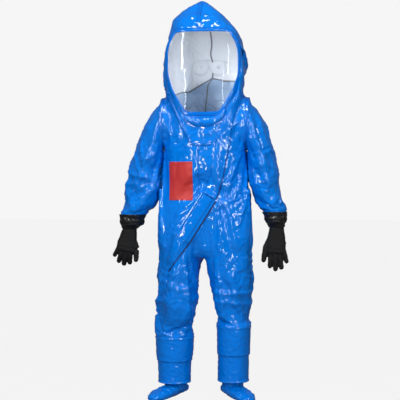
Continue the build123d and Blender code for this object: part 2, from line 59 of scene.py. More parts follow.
MM = 0.001
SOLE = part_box("left_bootie")[0].z
SIDES = {"right": -1, "left": 1}
SEED = 7
noise.seed_set(SEED)


def place(x, y, height):
    """A point of the tables, in millimetres, as a place in the frame."""
    return Vector((x * MM, y * MM, SOLE + height * MM))


def height_of(point):
    """A place's height above the soles, in millimetres."""
    return (point[2] - SOLE) / MM


def side_of(x):
    return "right" if x < 0 else "left"


# ---------------------------------------------------------------- the suit's form
# Trunk and hood: height, middle in x, half width, front, back, corner radius
TRUNK = [
    (700, 0, 205, -112, 115, 100),
    (722, 0, 225, -128, 130, 115),
    (760, 0, 235, -140, 140, 118),
    (920, 0, 235, -140, 140, 118),
    (990, 0, 222, -140, 140, 118),
    (1060, 0, 203, -140, 140, 118),
    (1210, 0, 197, -140, 140, 118),
    (1300, 0, 192, -143, 140, 118),
    (1380, 0, 190, -156, 142, 118),
    (1460, 0, 187, -172, 148, 118),
    (1560, 0, 199, -188, 188, 125),
    (1680, 1, 203, -190, 188, 130),
    (1756, -2, 191, -177, 174, 125),
    (1805, -12, 171, -158, 154, 105),
    (1856, -28, 142, -124, 124, 85),
    (1894, -24, 98, -86, 90, 55),
    (1926, -19, 54, -52, 58, 32),
    (1950, -15, 18, -22, 28, 12),
]
# Sleeve sections: outward x, height, half width, half depth, tilt of the section from level
SLEEVES = {
    "right": [(188, 1330, 124, 124, 90), (212, 1329, 124, 124, 88), (236, 1302, 118, 122, 72),
              (262, 1262, 101, 118, 54), (300, 1150, 92, 98, 8), (313, 1063, 104, 96, 0),
              (327, 1000, 98, 92, 0), (343, 930, 85, 82, 0), (362, 868, 57, 60, 0), (367, 850, 52, 56, 0)],
    "left": [(188, 1330, 124, 124, 90), (212, 1329, 124, 124, 88), (236, 1302, 118, 122, 72),
             (262, 1262, 98, 118, 54), (290, 1150, 82, 96, 8), (298, 1063, 88, 92, 0),
             (317, 1000, 77, 86, 0), (330, 930, 66, 76, 0), (340, 884, 50, 57, 0), (342, 866, 46, 54, 0)],
}
# Leg sections: height, outward x, half width, middle in y, half depth
LEGS = {
    "right": [(770, 120, 106, 0, 126), (680, 123, 112, 0, 122), (583, 131, 114, 0, 120),
              (520, 132, 112, -4, 117), (465, 133, 110, -2, 113), (400, 141, 109, 3, 108),
              (335, 151, 104, 4, 102), (283, 154, 94, 4, 93), (250, 154, 76, 4, 78)],
    "left": [(770, 116, 104, 0, 126), (680, 117, 108, 0, 122), (600, 122, 109, 0, 120),
             (540, 123, 98, -4, 115), (470, 126, 96, -2, 110), (400, 133, 95, 3, 104), (350, 137, 87, 4, 96),
             (335, 137, 84, 4, 93), (310, 137, 70, 4, 78)],
}
# Back pouch: height, half width, back, corner radius
POUCH = [(948, 100, 140, 40), (1015, 138, 232, 60), (1120, 146, 262, 70), (1390, 148, 276, 70),
         (1510, 142, 254, 70), (1590, 100, 180, 45)]
POUCH_FRONT = 60
VISOR = [(-123, 1756), (123, 1756), (152, 1722), (170, 1668), (171, 1552), (145, 1478), (78, 1372),
         (-83, 1372), (-147, 1478), (-171, 1552), (-171, 1668), (-155, 1722)]
# Chest flap: x and height, up its outer edge and down its inner edge
BAND_OUTER = [(62, 957), (92, 1055), (119, 1195), (139, 1320), (163, 1420), (182, 1500), (194, 1600),
              (196, 1690)]
BAND_INNER = [(186, 1690), (178, 1590), (158, 1470), (122, 1402), (82, 1310), (58, 1200), (36, 1080),
              (6, 992)]
PATCH = (-166, -50, 955, 1139)  # the plain patch's sides, foot and top
NECK = 1460
BIB = [(-175, 1460), (-55, 1222), (55, 1222), (175, 1460)]
ARMHOLE = 206
ARMHOLE_HEIGHT = 1330
ARMHOLE_RADIUS = 124
HIP_SPLIT = 705
THIGH_SPLIT = 545
VALVES = [(-46, 1625), (46, 1625)]
VOXEL = 0.0095
FILM = 0.0011
# The film is held firm below the first of these heights, and cut off at the second
SLEEVE_END = {"right": (890, 850.5), "left": (904, 866.5)}
LEG_END = {"right": (298, 250.5), "left": (348, 310.5)}
ELBOW_FOLDS, KNEE_FOLDS, GROIN_FOLDS = 1090, 470, 660
ARM_ABOVE, LEG_BELOW, HEAD_ABOVE = 840, 740, 1480
BELLY_FRONT = -140.0

# The zip's straight stretch, across the belly
ZIP_LEAN = radians(32.3)
ZIP_FOOT = (-182.4, 626.0)
ZIP_ALONG = (166.0, 404.0)


def zip_place(along, across, out):
    """A point by its distance along the chain, across it towards the flap's hinge, and out from the belly."""
    x = ZIP_FOOT[0] + along * sin(ZIP_LEAN) - across * cos(ZIP_LEAN)
    height = ZIP_FOOT[1] + along * cos(ZIP_LEAN) + across * sin(ZIP_LEAN)
    return place(x, BELLY_FRONT - out, height)


def zip_coordinates(point):
    """How far a frame point lies along and across the chain, in millimetres."""
    dx = point.x / MM - ZIP_FOOT[0]
    dz = height_of(point) - ZIP_FOOT[1]
    return dx * sin(ZIP_LEAN) + dz * cos(ZIP_LEAN), -dx * cos(ZIP_LEAN) + dz * sin(ZIP_LEAN)


def in_scene(name, data):
    """A new object that holds a mesh, lamp or camera."""
    piece = bpy.data.objects.new(name, data)
    bpy.context.scene.collection.objects.link(piece)
    return piece


def mesh_piece(name, points, faces):
    mesh = bpy.data.meshes.new(name)
    mesh.from_pydata([tuple(p) for p in points], [], faces)
    mesh.validate()
    return in_scene(name, mesh)


def lofted(name, rings, closed_ends=True):
    """A skin through rings of points, each ring as long as the next."""
    count = len(rings[0])
    points = [p for ring in rings for p in ring]
    faces = []
    for row in range(len(rings) - 1):
        for n in range(count):
            m = (n + 1) % count
            faces.append((row * count + n, row * count + m, (row + 1) * count + m, (row + 1) * count + n))
    if closed_ends:
        faces.append(tuple(range(count))[::-1])
        faces.append(tuple(range((len(rings) - 1) * count, len(rings) * count)))
    piece = mesh_piece(name, points, faces)
    outward(piece)
    return piece


def outward(piece):
    """Closes a form's doubled points and turns its faces outwards."""
    skin = bmesh.new()
    skin.from_mesh(piece.data)
    bmesh.ops.remove_doubles(skin, verts=skin.verts, dist=1e-6)
    bmesh.ops.recalc_face_normals(skin, faces=skin.faces)
    skin.to_mesh(piece.data)
    skin.free()


def rounded_ring(height, middle, half, front, back, radius, per_corner=9):
    """A rounded rectangle seen from above."""
    ring = []
    centre, depth = (front + back) / 2, (back - front) / 2
    radius = min(radius, half, depth)
    for corner, (sx, sy) in enumerate(((1, 1), (-1, 1), (-1, -1), (1, -1))):
        for n in range(per_corner):
            turn = radians(90 * corner + 90 * n / (per_corner - 1))
            ring.append(place(middle + sx * (half - radius) + radius * cos(turn),
                              centre + sy * (depth - radius) + radius * sin(turn), height))
    return ring


def oval_ring(x, y, height, half_width, half_depth, tilt=0.0, side=1, count=40):
    """An ellipse whose width leans up by tilt degrees away from level, on the given side of the body."""
    lean = radians(tilt)
    ring = []
    for n in range(count):
        turn = 2 * pi * n / count
        reach = half_width * cos(turn)
        ring.append(place(side * (x + reach * cos(lean)), y + half_depth * sin(turn),
                          height + reach * sin(lean)))
    return ring


def select_only(*objects):
    bpy.ops.object.select_all(action="DESELECT")
    for chosen in objects:
        chosen.select_set(True)
    bpy.context.view_layer.objects.active = objects[0]


def apply_modifiers(piece):
    select_only(piece)
    for modifier in list(piece.modifiers):
        bpy.ops.object.modifier_apply(modifier=modifier.name)
    bpy.ops.object.select_all(action="DESELECT")


def fused(name, parts, voxel, smoothing):
    """Overlapping closed parts as one skin of even faces, with soft creases where they meet."""
    select_only(*parts)
    bpy.ops.object.join()
    piece = bpy.context.view_layer.objects.active
    piece.name = name
    piece.data.name = name
    remesh = piece.modifiers.new("Remesh", "REMESH")
    remesh.mode = "VOXEL"
    remesh.voxel_size = voxel
    smooth = piece.modifiers.new("Smooth", "SMOOTH")
    smooth.factor = 0.5
    smooth.iterations = smoothing
    apply_modifiers(piece)
    return piece


def coordinates(piece):
    flat = np.empty(len(piece.data.vertices) * 3, np.float32)
    piece.data.vertices.foreach_get("co", flat)
    return flat.reshape(-1, 3).astype(float)


def set_coordinates(piece, points):
    piece.data.vertices.foreach_set("co", np.asarray(points, np.float32).ravel())
    piece.data.update()


def vertex_normals(piece):
    flat = np.empty(len(piece.data.vertices) * 3, np.float32)
    piece.data.vertices.foreach_get("normal", flat)
    return flat.reshape(-1, 3).astype(float)


def suit_form():
    """Trunk, pouch and legs as one skin, and each sleeve apart, so that no arm grows into the side."""
    parts = [lofted("trunk", [rounded_ring(*row) for row in TRUNK])]
    pouch_rows = [rounded_ring(height, 0, half, POUCH_FRONT, back, radius)
                  for height, half, back, radius in POUCH]
    parts.append(lofted("pouch", pouch_rows))
    for name, side in SIDES.items():
        stub = [oval_ring(x, 0, ARMHOLE_HEIGHT, ARMHOLE_RADIUS, ARMHOLE_RADIUS, 90, side)
                for x in (110, 160, 222)]
        parts.append(lofted("armhole", stub))
        rows = [oval_ring(x, y, height, half, depth, 0, side) for height, x, half, y, depth in LEGS[name]]
        parts.append(lofted("leg", rows))
    forms = [fused("body_form", parts, VOXEL, 5)]
    for name, side in SIDES.items():
        rows = [oval_ring(x, 0, height, half, depth, tilt, side)
                for x, height, half, depth, tilt in SLEEVES[name]]
        forms.append(fused("sleeve_form", [lofted("sleeve", rows)], VOXEL, 3))
    select_only(*forms)
    bpy.ops.object.join()
    return bpy.context.view_layer.objects.active


def bump_weight(value, centre, reach):
    """1 at the centre, falling to 0 at the reach."""
    return max(0.0, 1 - abs(value - centre) / reach)


def slackness(point):
    """How much spare film there is at a point, from 0 to 1: most at elbows, knees, armholes and the seat."""
    height = height_of(point)
    if abs(point[0]) / MM > ARMHOLE and height > ARM_ABOVE:
        return 0.4 + 0.6 * bump_weight(height, ELBOW_FOLDS, 150)
    if height < LEG_BELOW:
        folds = 0.6 * bump_weight(height, KNEE_FOLDS, 130) + 0.35 * bump_weight(height, GROIN_FOLDS, 90)
        return min(1.0, 0.4 + folds)
    return 0.28 if height > HEAD_ABOVE else 0.3


def in_outline(x, z, outline, grow=0.0):
    """Whether a point in x and height lies inside an outline that is grown by a distance."""
    inside = False
    nearest = 1e9
    for (x0, z0), (x1, z1) in zip(outline, outline[1:] + outline[:1]):
        if (z0 > z) != (z1 > z) and x < (x1 - x0) * (z - z0) / (z1 - z0) + x0:
            inside = not inside
        length = hypot(x1 - x0, z1 - z0)
        along = max(0.0, min(1.0, ((x - x0) * (x1 - x0) + (z - z0) * (z1 - z0)) / length ** 2))
        nearest = min(nearest, hypot(x - x0 - along * (x1 - x0), z - z0 - along * (z1 - z0)))
    return inside or nearest <= grow


def held_firm(point):
    """Whether the film stays put: round the visor, valves and armholes, along the zip, and at its ends."""
    x, y, height = point.x / MM, point.y / MM, height_of(point)
    if y < -50 and 1350 < height < 1780 and in_outline(x, height, VISOR, 14):
        return True
    if y < -100:
        along, across = zip_coordinates(point)
        if ZIP_ALONG[0] - 14 < along < ZIP_ALONG[1] + 14 and -38 < across < 52:
            return True
    if y > 150 and any(hypot(x - vx, height - vz) < 42 for vx, vz in VALVES):
        return True
    if abs(abs(x) - ARMHOLE) < 9 and hypot(y, height - ARMHOLE_HEIGHT) > 90 and 1190 < height < 1470:
        return True
    ends = SLEEVE_END if abs(x) > 250 else LEG_END
    return height < ends[side_of(x)][0]


def crumpled(piece, growth, frames, cap, pressure, gravity, stiffness):
    """Lets the film find its folds as cloth with spare length, then limits how far any point has moved."""
    rest = coordinates(piece)
    held = [n for n, p in enumerate(rest) if held_firm(Vector(p))]
    normals = vertex_normals(piece)
    start = rest.copy()
    for n, p in enumerate(rest):
        wave = noise.noise(Vector((p[0] * 22 + SEED, p[1] * 22, p[2] * 11)))
        wave += 0.5 * noise.noise(Vector((p[0] * 60, p[1] * 60 + SEED, p[2] * 40)))
        start[n] += normals[n] * wave * 0.004
    start[held] = rest[held]
    set_coordinates(piece, start)
    holding = piece.vertex_groups.new(name="held")
    holding.add(held, 1.0, "REPLACE")
    spare = piece.vertex_groups.new(name="spare")
    for n, p in enumerate(rest):
        spare.add([n], slackness(p), "REPLACE")
    cloth = piece.modifiers.new("Cloth", "CLOTH")
    film = cloth.settings
    film.quality = 4
    film.mass = 0.25
    film.tension_stiffness = 30
    film.compression_stiffness = 30
    film.shear_stiffness = 12
    film.bending_stiffness = stiffness
    film.tension_damping = film.compression_damping = film.shear_damping = 3
    film.bending_damping = 0.5
    film.air_damping = 2.0
    film.vertex_group_mass = "held"
    film.vertex_group_shrink = "spare"
    film.shrink_min = -0.35 * growth
    film.shrink_max = -growth
    film.use_pressure = True
    film.uniform_pressure_force = pressure
    film.effector_weights.gravity = gravity
    cloth.collision_settings.use_collision = False
    cloth.point_cache.frame_start = 1
    cloth.point_cache.frame_end = frames
    scene = bpy.context.scene
    scene.frame_start, scene.frame_end = 1, frames
    for step in range(1, frames + 1):
        scene.frame_set(step)
    shown = piece.evaluated_get(bpy.context.evaluated_depsgraph_get())
    flat = np.empty(len(shown.data.vertices) * 3, np.float32)
    shown.data.vertices.foreach_get("co", flat)
    moved = flat.reshape(-1, 3).astype(float) - rest
    far = np.linalg.norm(moved, axis=1)
    moved *= (np.tanh(far / cap) * cap / np.maximum(far, 1e-9))[:, None]
    piece.modifiers.remove(cloth)
    piece.vertex_groups.clear()
    scene.frame_set(1)
    set_coordinates(piece, rest + moved)


def subdivided(piece, levels=1):
    finer = piece.modifiers.new("Subdivision", "SUBSURF")
    finer.levels = finer.render_levels = levels
    apply_modifiers(piece)


def crease(point, scale, stretch=1.0):
    """A sharp-edged ripple, from 0 to 1, of the kind that stiff film folds into."""
    spot = Vector((point[0] * scale, point[1] * scale, point[2] * scale * stretch))
    warp = noise.noise_vector(spot * 0.6) * 0.7
    return 1.0 - min(1.0, abs(noise.noise(spot + warp)) * 2.4)


def crinkle(piece, depth):
    """Presses small creases into the film, in patches, except where it is held firm."""
    points = coordinates(piece)
    normals = vertex_normals(piece)
    for n, p in enumerate(points):
        spot = Vector(p)
        patch = 0.5 + 0.9 * noise.noise(spot * 5.0 + Vector((SEED, 0, 0)))
        height, beside = height_of(p), abs(p[0]) > 0.215
        if height < LEG_BELOW or beside:
            patch += 0.25
        free = 0.15 if held_firm(spot) else 1.0
        ripple = 0.75 * crease(p, 11, 0.75) + 0.45 * crease(p + 3.3, 27)
        if beside and height > ARM_ABOVE:
            limb = bump_weight(height, ELBOW_FOLDS - 5, 190)
        else:
            limb = bump_weight(height, KNEE_FOLDS, 170) + 0.5 * bump_weight(height, GROIN_FOLDS + 30, 80)
        across = crease((p[0] + 0.5 * p[2], p[1], p[2] * 2.6), 4.4)
        press = (ripple - 0.5) * max(0.12, min(1.0, patch)) + 1.2 * limb * (across - 0.5)
        points[n] += normals[n] * press * free * depth
    set_coordinates(piece, points)


skin = suit_form()
form_tree = BVHTree.FromObject(skin, bpy.context.evaluated_depsgraph_get())
crumpled(skin, growth=0.12, frames=22, cap=0.028, pressure=0.25, gravity=0.5, stiffness=0.35)
subdivided(skin)
crinkle(skin, 0.0085)


# ---------------------------------------------------------------- materials
def node_group(name, inputs, outputs):
    group = bpy.data.node_groups.new(name, "ShaderNodeTree")
    for label, kind, value in inputs:
        socket = group.interface.new_socket(label, in_out="INPUT", socket_type=kind)
        if value is not None:
            socket.default_value = value
    for label, kind in outputs:
        group.interface.new_socket(label, in_out="OUTPUT", socket_type=kind)
    return group, group.nodes.new("NodeGroupInput"), group.nodes.new("NodeGroupOutput")


def added(tree, kind, wires=None, values=None, **settings):
    """A new node with its settings, the constants on its sockets and the wires that come in."""
    made = tree.nodes.new("ShaderNode" + kind)
    for setting, value in settings.items():
        setattr(made, setting, value)
    for socket, value in (values or {}).items():
        made.inputs[socket].default_value = value
    for socket, source in (wires or {}).items():
        tree.links.new(source, made.inputs[socket])
    return made


def maths(tree, operation, *terms):
    """The result of a sum on sockets and plain numbers."""
    made = added(tree, "Math", operation=operation)
    for n, term in enumerate(terms):
        if isinstance(term, (int, float)):
            made.inputs[n].default_value = term
        else:
            tree.links.new(term, made.inputs[n])
    return made.outputs[0]


def scaled_place(group, entry):
    wires = {0: entry.outputs["Place"], "Scale": entry.outputs["Scale"]}
    return added(group, "VectorMath", wires, operation="SCALE").outputs[0]


def film_creases():
    """Fine creases of a stiff film: broad ripples, sharp fold lines and small dents, as one height."""
    group, entry, result = node_group(
        "film_creases", [("Place", "NodeSocketVector", None), ("Scale", "NodeSocketFloat", 1.0)],
        [("Height", "NodeSocketFloat"), ("Mask", "NodeSocketFloat")])
    where = scaled_place(group, entry)
    warp = added(group, "TexNoise", {"Vector": where}, {"Scale": 14, "Detail": 2})
    bent = added(group, "VectorMath", {0: warp.outputs["Color"], 2: where}, {1: (0.05, 0.05, 0.05)},
                 operation="MULTIPLY_ADD").outputs[0]
    folds = added(group, "TexVoronoi", {"Vector": bent}, {"Scale": 17}, feature="DISTANCE_TO_EDGE")
    fold_lines = added(group, "MapRange", {"Value": folds.outputs["Distance"]}, {"From Max": 0.11})
    ripples = added(group, "TexNoise", {"Vector": bent}, {"Scale": 16, "Detail": 3},
                    noise_type="RIDGED_MULTIFRACTAL")
    dents = added(group, "TexNoise", {"Vector": where}, {"Scale": 60, "Detail": 3})
    patches = added(group, "TexNoise", {"Vector": where}, {"Scale": 5, "Detail": 1})
    mask = added(group, "MapRange", {"Value": patches.outputs["Fac"]}, {"From Min": 0.4, "From Max": 0.62})
    height = maths(group, "ADD", maths(group, "MULTIPLY", fold_lines.outputs[0], 0.45),
                   maths(group, "MULTIPLY", ripples.outputs["Fac"], 0.5))
    total = maths(group, "ADD", maths(group, "MULTIPLY", height, mask.outputs[0]),
                  maths(group, "MULTIPLY", dents.outputs["Fac"], 0.06))
    group.links.new(total, result.inputs["Height"])
    group.links.new(mask.outputs[0], result.inputs["Mask"])
    return group


def scuffs():
    """Slow variation of colour and shine with faint scuffs."""
    group, entry, result = node_group(
        "scuffs", [("Place", "NodeSocketVector", None), ("Scale", "NodeSocketFloat", 1.0),
                   ("Colour", "NodeSocketColor", None), ("Worn colour", "NodeSocketColor", None),
                   ("Roughness", "NodeSocketFloat", 0.3), ("Spread", "NodeSocketFloat", 0.1)],
        [("Colour", "NodeSocketColor"), ("Roughness", "NodeSocketFloat")])
    cloud = added(group, "TexNoise", {"Vector": scaled_place(group, entry)}, {"Scale": 9, "Detail": 5})
    blend = added(group, "Mix", data_type="RGBA")
    for source, socket in ((cloud.outputs["Fac"], "Factor"), (entry.outputs["Colour"], "A"),
                           (entry.outputs["Worn colour"], "B")):
        group.links.new(source, blend.inputs[socket])
    rough = maths(group, "MULTIPLY_ADD", cloud.outputs["Fac"], entry.outputs["Spread"],
                  entry.outputs["Roughness"])
    group.links.new(blend.outputs["Result"], result.inputs["Colour"])
    group.links.new(rough, result.inputs["Roughness"])
    return group


def speckle():
    """A fine grain for moulded rubber and plastic, as a height."""
    group, entry, result = node_group(
        "speckle", [("Place", "NodeSocketVector", None), ("Scale", "NodeSocketFloat", 900.0)],
        [("Height", "NodeSocketFloat")])
    wires = {"Vector": entry.outputs["Place"], "Scale": entry.outputs["Scale"]}
    grain = added(group, "TexNoise", wires, {"Detail": 2})
    cells = added(group, "TexVoronoi", wires)
    total = maths(group, "ADD", grain.outputs["Fac"], cells.outputs["Distance"])
    group.links.new(total, result.inputs["Height"])
    return group


CREASES, SCUFFS, SPECKLE = film_creases(), scuffs(), speckle()
COAT_IOR = 1.5
GRAIN_DEPTH = 0.0004


def new_material(name, **values):
    """A material with plain constants on its shader's own sockets; an underscore in a name is a space."""
    material = bpy.data.materials.new(name)
    material.use_nodes = True
    shader = material.node_tree.nodes["Principled BSDF"]
    for socket, value in values.items():
        shader.inputs[socket.replace("_", " ")].default_value = value
    return material, material.node_tree, shader


def finish_of(name, colour, worn, roughness, spread=0.1, coat=0.0, coat_roughness=0.03, metallic=0.0,
              specular=0.5, creases=0.0, crease_scale=1.0, crease_depth=0.002, grain=0.0, grain_scale=900.0,
              on_rest=False, sheen=0.0):
    """A material with slow colour variation, and creases or grain from the shared groups."""
    material, tree, shader = new_material(
        name, Metallic=metallic, Specular_IOR_Level=specular, Coat_Weight=coat, Coat_Roughness=coat_roughness,
        Coat_IOR=COAT_IOR, Sheen_Weight=sheen)
    if on_rest:
        spot = added(tree, "Attribute", attribute_name="rest").outputs["Vector"]
    else:
        spot = added(tree, "TexCoord").outputs["Object"]
    wear = added(tree, "Group", node_tree=SCUFFS)
    for socket, value in (("Colour", (*colour, 1)), ("Worn colour", (*worn, 1)), ("Roughness", roughness),
                          ("Spread", spread)):
        wear.inputs[socket].default_value = value
    tree.links.new(spot, wear.inputs["Place"])
    tree.links.new(wear.outputs["Colour"], shader.inputs["Base Color"])
    tree.links.new(wear.outputs["Roughness"], shader.inputs["Roughness"])
    normal = None
    for relief, scale, strength, depth in ((CREASES, crease_scale, creases, crease_depth),
                                           (SPECKLE, grain_scale, grain, GRAIN_DEPTH)):
        if not strength:
            continue
        height = added(tree, "Group", node_tree=relief)
        height.inputs["Scale"].default_value = scale
        tree.links.new(spot, height.inputs["Place"])
        wires = {"Height": height.outputs["Height"]}
        if normal:
            wires["Normal"] = normal
        normal = added(tree, "Bump", wires, {"Strength": strength, "Distance": depth}).outputs["Normal"]
    if normal:
        tree.links.new(normal, shader.inputs["Normal"])
        if coat:
            tree.links.new(normal, shader.inputs["Coat Normal"])
    return material


def clear_sheet():
    """The visor: clear flexible sheet that lets light through to the hood's lining."""
    material, tree, shader = new_material(
        "clear_visor", Base_Color=(0.97, 0.98, 0.985, 1), Roughness=0.02, Transmission_Weight=1.0, IOR=1.35)
    where = added(tree, "TexCoord")
    ripple = added(tree, "TexNoise", {"Vector": where.outputs["Object"]}, {"Scale": 7, "Detail": 1})
    bump = added(tree, "Bump", {"Height": ripple.outputs["Fac"]}, {"Strength": 0.5, "Distance": 0.014})
    tree.links.new(bump.outputs["Normal"], shader.inputs["Normal"])
    shadow_ray = added(tree, "LightPath").outputs["Is Shadow Ray"]
    passing = added(tree, "BsdfTransparent").outputs[0]
    mix = added(tree, "MixShader", {0: shadow_ray, 1: shader.outputs[0], 2: passing})
    tree.links.new(mix.outputs[0], tree.nodes["Material Output"].inputs["Surface"])
    return material


BLUE = finish_of("blue_film", (0.0, 0.165, 0.68), (0.0, 0.215, 0.82), 0.3, 0.12, coat=1.0,
                 coat_roughness=0.02, specular=0.0, creases=0.26, crease_depth=0.005, on_rest=True)
BLUE_SMOOTH = finish_of("blue_tape", (0.0, 0.14, 0.62), (0.0, 0.175, 0.72), 0.3, 0.1, coat=1.0,
                        coat_roughness=0.05, specular=0.0, creases=0.3, crease_depth=0.004)
# Near-black navy for strips laid in the slits beside the flaps' free edges: painted shadow where an edge
# stands off the film.
SLIT_SHADOW = finish_of("seam_shadow", (0.0, 0.02, 0.14), (0.002, 0.03, 0.18), 0.5, 0.1, grain=0.2,
                      on_rest=True)
LINING = finish_of("grey_lining", (0.7, 0.74, 0.8), (0.82, 0.85, 0.9), 0.42, 0.2, coat=0.3,
                   creases=0.7, crease_depth=0.005, on_rest=True)
LINING_PLAIN = finish_of("lining_plain", (0.8, 0.84, 0.9), (0.9, 0.92, 0.95), 0.5, 0.1, grain=0.1)
# A darker blue-grey copy of the grey lining, painted shade: it lines the inside below the hood's cross seam
# and the rest of the suit, where little light reaches.
LINING_SHADE = finish_of("lining_painted_shade", (0.25, 0.4, 0.62), (0.5, 0.62, 0.78), 0.4, 0.2, coat=0.3,
                        creases=0.9, crease_depth=0.006, on_rest=True)
LINING_TAPE = finish_of("lining_tape", (0.13, 0.14, 0.17), (0.24, 0.26, 0.3), 0.5, 0.2, creases=0.6,
                        crease_scale=3)
RED = finish_of("red_patch", (0.5, 0.022, 0.022), (0.58, 0.034, 0.03), 0.5, 0.12, creases=0.15,
                crease_depth=0.002, grain=0.15, grain_scale=1400)
GLOVE = finish_of("black_glove", (0.004, 0.004, 0.0045), (0.009, 0.009, 0.01), 0.68, 0.15, specular=0.3,
                  grain=0.5, grain_scale=1100, creases=0.3, crease_scale=3.0, crease_depth=0.002,
                  on_rest=True)
GAUNTLET = finish_of("black_gauntlet", (0.004, 0.004, 0.005), (0.012, 0.012, 0.014), 0.22, 0.15, coat=0.6,
                     coat_roughness=0.1, creases=0.8, crease_scale=3.0, crease_depth=0.004, on_rest=True)
VISOR_CLEAR = clear_sheet()
ZIP_TAPE = finish_of("zip_tape", (0.01, 0.07, 0.32), (0.02, 0.1, 0.4), 0.75, 0.15, grain=0.6,
                     grain_scale=1600)
ZIP_TEETH = finish_of("zip_teeth", (0.012, 0.02, 0.06), (0.03, 0.04, 0.09), 0.35, 0.15, grain=0.2)
ZIP_METAL = finish_of("zip_metal", (0.5, 0.5, 0.52), (0.62, 0.62, 0.62), 0.25, 0.2, metallic=1.0, grain=0.15)
HOOKS = finish_of("hook_and_loop", (0.01, 0.06, 0.28), (0.03, 0.11, 0.42), 0.9, 0.1, grain=1.0,
                  grain_scale=700, sheen=0.3)
VALVE = finish_of("valve_plastic", (0.03, 0.032, 0.035), (0.06, 0.062, 0.066), 0.45, 0.15, grain=0.4)
VALVE_RUBBER = finish_of("valve_rubber", (0.2, 0.06, 0.03), (0.26, 0.09, 0.05), 0.55, 0.1, grain=0.3)
CUFF_PLASTIC = finish_of("cuff_plastic", (0.6, 0.6, 0.57), (0.7, 0.7, 0.67), 0.4, 0.15, grain=0.3)


# ---------------------------------------------------------------- cutting the skin into its panels
def cut(form, at, normal, near):
    """New edges along a plane, through the faces whose middles near() picks."""
    faces = [f for f in form.faces if near(f.calc_center_median())]
    edges = {e for f in faces for e in f.edges}
    verts = {v for f in faces for v in f.verts}
    bmesh.ops.bisect_plane(form, geom=[*faces, *edges, *verts], plane_co=at, plane_no=normal, dist=1e-6)


def near_height(height, reach=16.0):
    return lambda c: abs(height_of(c) - height) < reach


def near_bib(c):
    return c.y < -0.03 and 1200 < height_of(c) < 1475 and abs(c.x) / MM < 190


def bib_half(height):
    """Half of the bib's width at a height."""
    share = (height - BIB[1][1]) / (BIB[0][1] - BIB[1][1])
    return BIB[2][0] + share * (BIB[3][0] - BIB[2][0])


def pouch_edge(height):
    """How far back the trunk's own surface reaches where the pouch is sewn on, in millimetres."""
    return 150 if height < NECK else 150 + 0.44 * (height - NECK)


def panel_of(c):
    """The name of the panel that a face at this place is cut from, or nothing where the form is open."""
    x, y, height = c.x / MM, c.y / MM, height_of(c)
    if y < -50 and 1350 < height < 1780 and in_outline(x, height, VISOR):
        return None
    side = side_of(x)
    if c.from_sleeve:
        if abs(x) < ARMHOLE and height > 1190:
            return None
        return side + "_sleeve" if height > SLEEVE_END[side][1] else None
    if abs(x) > ARMHOLE and height > 1010:
        return None
    if height < LEG_END[side][1]:
        return None
    if height < THIGH_SPLIT:
        return side + "_trouser_lower"
    if height < HIP_SPLIT:
        return side + "_trouser_upper"
    if abs(x) < 156 and 940 < height < 1582 and y > pouch_edge(height):
        return "back_pouch"
    if height > NECK or (y < -30 and height > BIB[1][1] and abs(x) < bib_half(height)):
        return "hood"
    return "coverall"


class Spot:
    """A face's middle, and whether the face belongs to a sleeve."""

    def __init__(self, centre, from_sleeve):
        self.x, self.y, self.z = centre
        self.from_sleeve = from_sleeve

    def __getitem__(self, n):
        return (self.x, self.y, self.z)[n]


def store_vectors(mesh, name, vectors):
    attribute = mesh.attributes.get(name) or mesh.attributes.new(name, "FLOAT_VECTOR", "POINT")
    attribute.data.foreach_set("vector", np.asarray(vectors, np.float32).ravel())


def read_vectors(mesh, name):
    flat = np.empty(len(mesh.vertices) * 3, np.float32)
    mesh.attributes[name].data.foreach_get("vector", flat)
    return flat.reshape(-1, 3).astype(float)


def cut_edges():
    form = bmesh.new()
    form.from_mesh(skin.data)
    for side in SIDES.values():
        cut(form, place(side * ARMHOLE, 0, 0), (1, 0, 0),
            lambda c: abs(abs(c.x) / MM - ARMHOLE) < 16 and height_of(c) > 1150)
        cut(form, place(side * 115, 0, 1341), (238, 0, -120 * side), near_bib)
    cut(form, place(0, 0, NECK), (0, 0, 1), lambda c: near_height(NECK)(c) and abs(c.x) < 0.215)
    cut(form, place(0, 0, BIB[1][1]), (0, 0, 1), lambda c: near_bib(c) and near_height(BIB[1][1])(c))
    cut(form, place(0, 0, HIP_SPLIT), (0, 0, 1), near_height(HIP_SPLIT))
    cut(form, place(0, 0, THIGH_SPLIT), (0, 0, 1), near_height(THIGH_SPLIT))
    cut(form, place(0, 0, 0), (1, 0, 0), lambda c: height_of(c) < 730 and abs(c.x) < 0.016)
    cut(form, place(0, 150, 0), (0, 1, 0), lambda c: abs(c.y / MM - 150) < 16 and 930 < height_of(c) < 1475)
    cut(form, place(0, 150, NECK), (0, 1, -0.44), lambda c: c.y > 0.12 and 1450 < height_of(c) < 1610)
    form.to_mesh(skin.data)
    form.free()


def sleeve_verts():
    """Which vertices belong to a sleeve: the skin's parts that reach out past the trunk."""
    form = bmesh.new()
    form.from_mesh(skin.data)
    form.verts.ensure_lookup_table()
    island = [-1] * len(form.verts)
    islands = []
    for seed in form.verts:
        if island[seed.index] >= 0:
            continue
        group = [seed]
        island[seed.index] = len(islands)
        for vert in group:
            for edge in vert.link_edges:
                other = edge.other_vert(vert)
                if island[other.index] < 0:
                    island[other.index] = len(islands)
                    group.append(other)
        islands.append(max(abs(v.co.x) for v in group) > 0.3 and min(abs(v.co.x) for v in group) > 0.1)
    form.free()
    return [islands[n] for n in island]


def smooth_shaded(piece):
    piece.data.polygons.foreach_set("use_smooth", [True] * len(piece.data.polygons))


def thickened(piece, thickness, lining=False):
    """Gives a sheet its thickness, inwards; a lining takes the material after the outer one's."""
    wall = piece.modifiers.new("Solidify", "SOLIDIFY")
    wall.thickness = thickness
    wall.offset = -1
    wall.use_rim = True
    if lining:
        wall.material_offset = 1
    apply_modifiers(piece)


